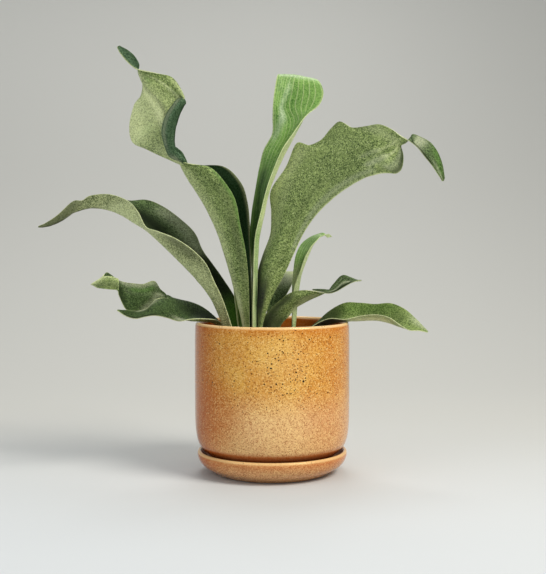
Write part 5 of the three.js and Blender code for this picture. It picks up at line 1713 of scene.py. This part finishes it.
BACK_TONES = (
    # The head's silver bloom with painted light, painted light on its top, painted shade towards the stalk.
    Accent("head's silver bloom and painted light", SILVER_AND_SHEEN, (0.4, 4.8), (0.9, 5.0), 0.6, 1.3, 1.0, BOTH),
    Accent("painted light on the head", PALE_AND_LIGHT, (0.7, 5.8), (0.9, 5.6), 0.4, 1.0, 0.8, BOTH),
    Accent("painted shade on the stalk", DARK_AND_SHADE, (0.9, 0.0), (0.9, 2.6), 0.3, 1.0, 0.5, BOTH),
)
LOW_RIGHT_TONES = (
    Accent("bright green middle", GREEN, (0.13, 4.6), (0.11, 6.8), 0.2, 1.0, 0.35, UPPER),
    Accent("shade of the foot", DARK_AND_SHADE, (0.1, 0.5), (0.2, 3.2), 0.4, 1.0, 0.78, UPPER),
    # Painted shade in the fold.
    Accent("painted shade in the fold", DARK_AND_SHADE, (0.2, 7.6), (0.3, 7.9), 0.3, 0.6, 0.35, UPPER),
    Accent("silvery end", SILVER_AND_SHEEN, (0.05, 9.2), (0.10, 10.2), 0.25, 0.8, 0.6, UPPER),
    Accent("pale under strip", PALE_AND_LIGHT, (0.75, 4.6), (0.75, 6.5), 0.18, 1.0, 0.7, UNDER),
    Accent("shade over the rim", DARK_AND_SHADE, (0.8, 0.8), (0.85, 3.2), 0.35, 0.8, 0.75, UNDER),
)
FOOT_LEFT_TONES = (
    # Painted light on the thin left margin, and painted shade inside.
    Accent("painted light on the left margin", PALE_AND_LIGHT, (0.02, 0.3), (0.07, 2.6), 0.22, 0.9, 1.0, UPPER),
    Accent("painted shade inside", DARK_AND_SHADE, (0.5, 1.6), (0.7, 2.9), 0.25, 0.7, 0.6, UPPER),
)


def fronds() -> list[Frond]:
    """Lists the ten fertile fronds and the two shield fronds.

    Returns:
        The fronds, ready to build.
    """
    felted = ("felted_frond", BLOOM_UPPER, FELT_UNDER, FELT_MARGIN)
    flapped = ("felted_frond", FLAP_UPPER, FELT_UNDER, FELT_MARGIN)
    leafy = ("felted_frond", LEAFY_UPPER, FELT_UNDER, FELT_MARGIN)
    grey = ("felted_frond", BLOOM_UPPER, GREY_UNDER, FELT_MARGIN)
    shady = ("felted_frond", SHADY_UPPER, FELT_UNDER, FELT_MARGIN)
    young = ("young_frond", YOUNG_UPPER, YOUNG_UNDER, YOUNG_MARGIN)
    shield = ("shield", DRY_SHIELD, DRY_SHIELD, DRY_SHIELD)
    fertile = (
        ("tall_left", TALL_LEFT, flapped, TALL_LEFT_TONES),
        ("long_left", LONG_LEFT, grey, LONG_LEFT_TONES),
        ("low_left", LOW_LEFT, shady, LOW_LEFT_TONES),
        ("centre", CENTRE, young, CENTRE_TONES),
        ("broad_right", BROAD_RIGHT, felted, BROAD_RIGHT_TONES),
        ("small_right", SMALL_RIGHT, young, SMALL_RIGHT_TONES),
        ("forked_right", FORKED_RIGHT, felted, FORKED_RIGHT_TONES),
        ("back", BACK, felted, BACK_TONES),
        ("low_right", LOW_RIGHT, leafy, LOW_RIGHT_TONES),
        ("foot_left", FOOT_LEFT, young, FOOT_LEFT_TONES),
    )
    return [
        *(
            Frond(f"{key}_frond", f"frond_{key}", shape, *dress, tones)
            for key, shape, dress, tones in fertile
        ),
        Frond("front_shield", "shield_frond_front", SHIELD_FRONT, *shield),
        Frond("back_shield", "shield_frond_back", SHIELD_BACK, *shield),
    ]


# Studio


@dataclass(frozen=True)
class Backdrop:
    """Matt pale paper, swept up from the floor behind the plant.

    The eye sees a near-white floor in front that greys gently towards the wall; this greying, a
    darker right side and a lighter top of the wall are painted light and shade in the paper's tones.
    """

    # Tones of the one paper, which paint its light and shade.
    front: str = "#cdd1d3"
    back: str = "#c2c2bd"
    right: str = "#bbbbb6"
    high: str = "#d8d8d3"
    near: float = -0.28  # metres, where the front's painted light ends
    deep: float = 0.35  # metres, where the back's painted shade begins
    start: float = -2.6  # metres, the front edge
    far: float = 2.2
    half_width: float = 4.0
    curve: float = 1.7
    wall_top: float = 3.4
    curve_steps: int = 48
    columns: int = 9

    def build(self) -> None:
        """Makes the sweep and its paper."""
        profile = [(self.start, 0.0), (-1.2, 0.0), (0.0, 0.0), (self.far - self.curve, 0.0)]
        for k in range(1, self.curve_steps + 1):
            a = math.pi / 2 * k / self.curve_steps
            profile.append((self.far - self.curve + self.curve * math.sin(a), self.curve * (1 - math.cos(a))))
        profile.append((self.far, self.wall_top))
        sides = np.linspace(-self.half_width, self.half_width, self.columns)
        points = np.array([(x, y, z) for y, z in profile for x in sides]) / MM
        faces = [
            (k, k + 1, k + 1 + self.columns, k + self.columns)
            for k in range(len(points) - self.columns) if (k + 1) % self.columns
        ]
        sweep = make_piece("backdrop_paper", points, faces)
        material, tree, shader = new_material(
            "matt_paper", self.front, {"Roughness": 0.9, "Specular IOR Level": 0.15}
        )
        place = add_node(tree, "ShaderNodeTexCoord").outputs["Object"]
        parts = add_node(tree, "ShaderNodeSeparateXYZ", {0: place}).outputs
        painted_light_and_shade = lay_coats(tree, to_linear(self.front), (
            # Painted shade towards the wall and on the right, painted light high on the wall.
            (parts["Y"], self.near, self.deep, 1.0, self.back),
            (parts["Z"], 0.25, 0.95, 1.0, self.high),
            (parts["X"], 0.0, 0.8, 1.0, self.right),
            (parts["Z"], 0.25, 0.95, 0.38, self.high),
        ))
        tree.links.new(painted_light_and_shade, shader.inputs["Base Color"])
        sweep.data.materials.append(material)
        sweep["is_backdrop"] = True


@dataclass(frozen=True)
class SoftLight:
    """A large soft light."""

    name: str
    place: Point  # metres
    size: float
    power: float
    colour: str = "#ffffff"
    aim: Point = (0.0, 0.0, 0.15)
    spread: float = 180.0  # degrees

    def build(self) -> None:
        """Hangs the light and aims it."""
        data = bpy.data.lights.new(self.name, "AREA")
        data.shape = "DISK"
        data.size = self.size
        data.energy = self.power
        data.spread = math.radians(self.spread)
        data.color = to_linear(self.colour)[:3]
        light = shown(self.name, data)
        light.location = self.place
        light.rotation_euler = (Vector(self.aim) - Vector(self.place)).to_track_quat("-Z", "Y").to_euler()


@dataclass
class Studio:
    """The pale sweep, the soft lights and the camera."""

    sky: float = 0.52
    sky_tint: Colour = (0.97, 0.99, 1.0, 1.0)
    backdrop: Backdrop = Backdrop()
    lights: tuple[SoftLight, ...] = (
        SoftLight("key_light", (1.1, -0.9, 1.5), 0.9, 17.0, "#fffaf2", spread=130.0),
        SoftLight("fill_light", (-1.3, -1.0, 0.9), 1.2, 4.0, "#f4f8ff"),
        SoftLight("rim_light", (-0.1, 0.9, 1.6), 0.9, 9.0),
    )

    def build(self) -> None:
        """Sets up the stage."""
        self.backdrop.build()
        for light in self.lights:
            light.build()
        world = bpy.data.worlds.new("soft_sky")
        world.use_nodes = True
        ground = next(n for n in world.node_tree.nodes if n.type == "BACKGROUND")
        ground.inputs["Color"].default_value = self.sky_tint
        ground.inputs["Strength"].default_value = self.sky
        bpy.context.scene.world = world
        bpy.context.scene.view_settings.view_transform = "Standard"
        data = bpy.data.cameras.new("camera")
        data.lens = LENS
        data.sensor_width = SENSOR
        camera = shown("camera", data)
        camera.location = (EYE + ROW_LEVEL) * MM
        camera.rotation_euler = (math.radians(90 - EYE_PITCH), 0.0, 0.0)
        bpy.context.scene.camera = camera


def plain(bounds: object) -> object:
    """Turns bounds into plain nested lists.

    Args:
        bounds: The bounds, or a part of them.

    Returns:
        The same numbers in lists.
    """
    if isinstance(bounds, dict):
        return {key: plain(value) for key, value in bounds.items()}
    if isinstance(bounds, (str, int, float)) or bounds is None:
        return bounds
    return [plain(value) for value in bounds]


def main() -> None:
    """Builds the plant on its stage, piece by piece, and reports each one."""
    logging.basicConfig(level=logging.INFO, format="%(message)s")
    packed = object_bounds()
    Saucer().build()
    Pot().build()
    PottingMix().build()
    Crown().build()
    for frond in fronds():
        frond.build()
    Studio().build()
    {"packed": plain(packed), "visual": plain(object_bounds())}


if __name__ == "__main__":
    main()
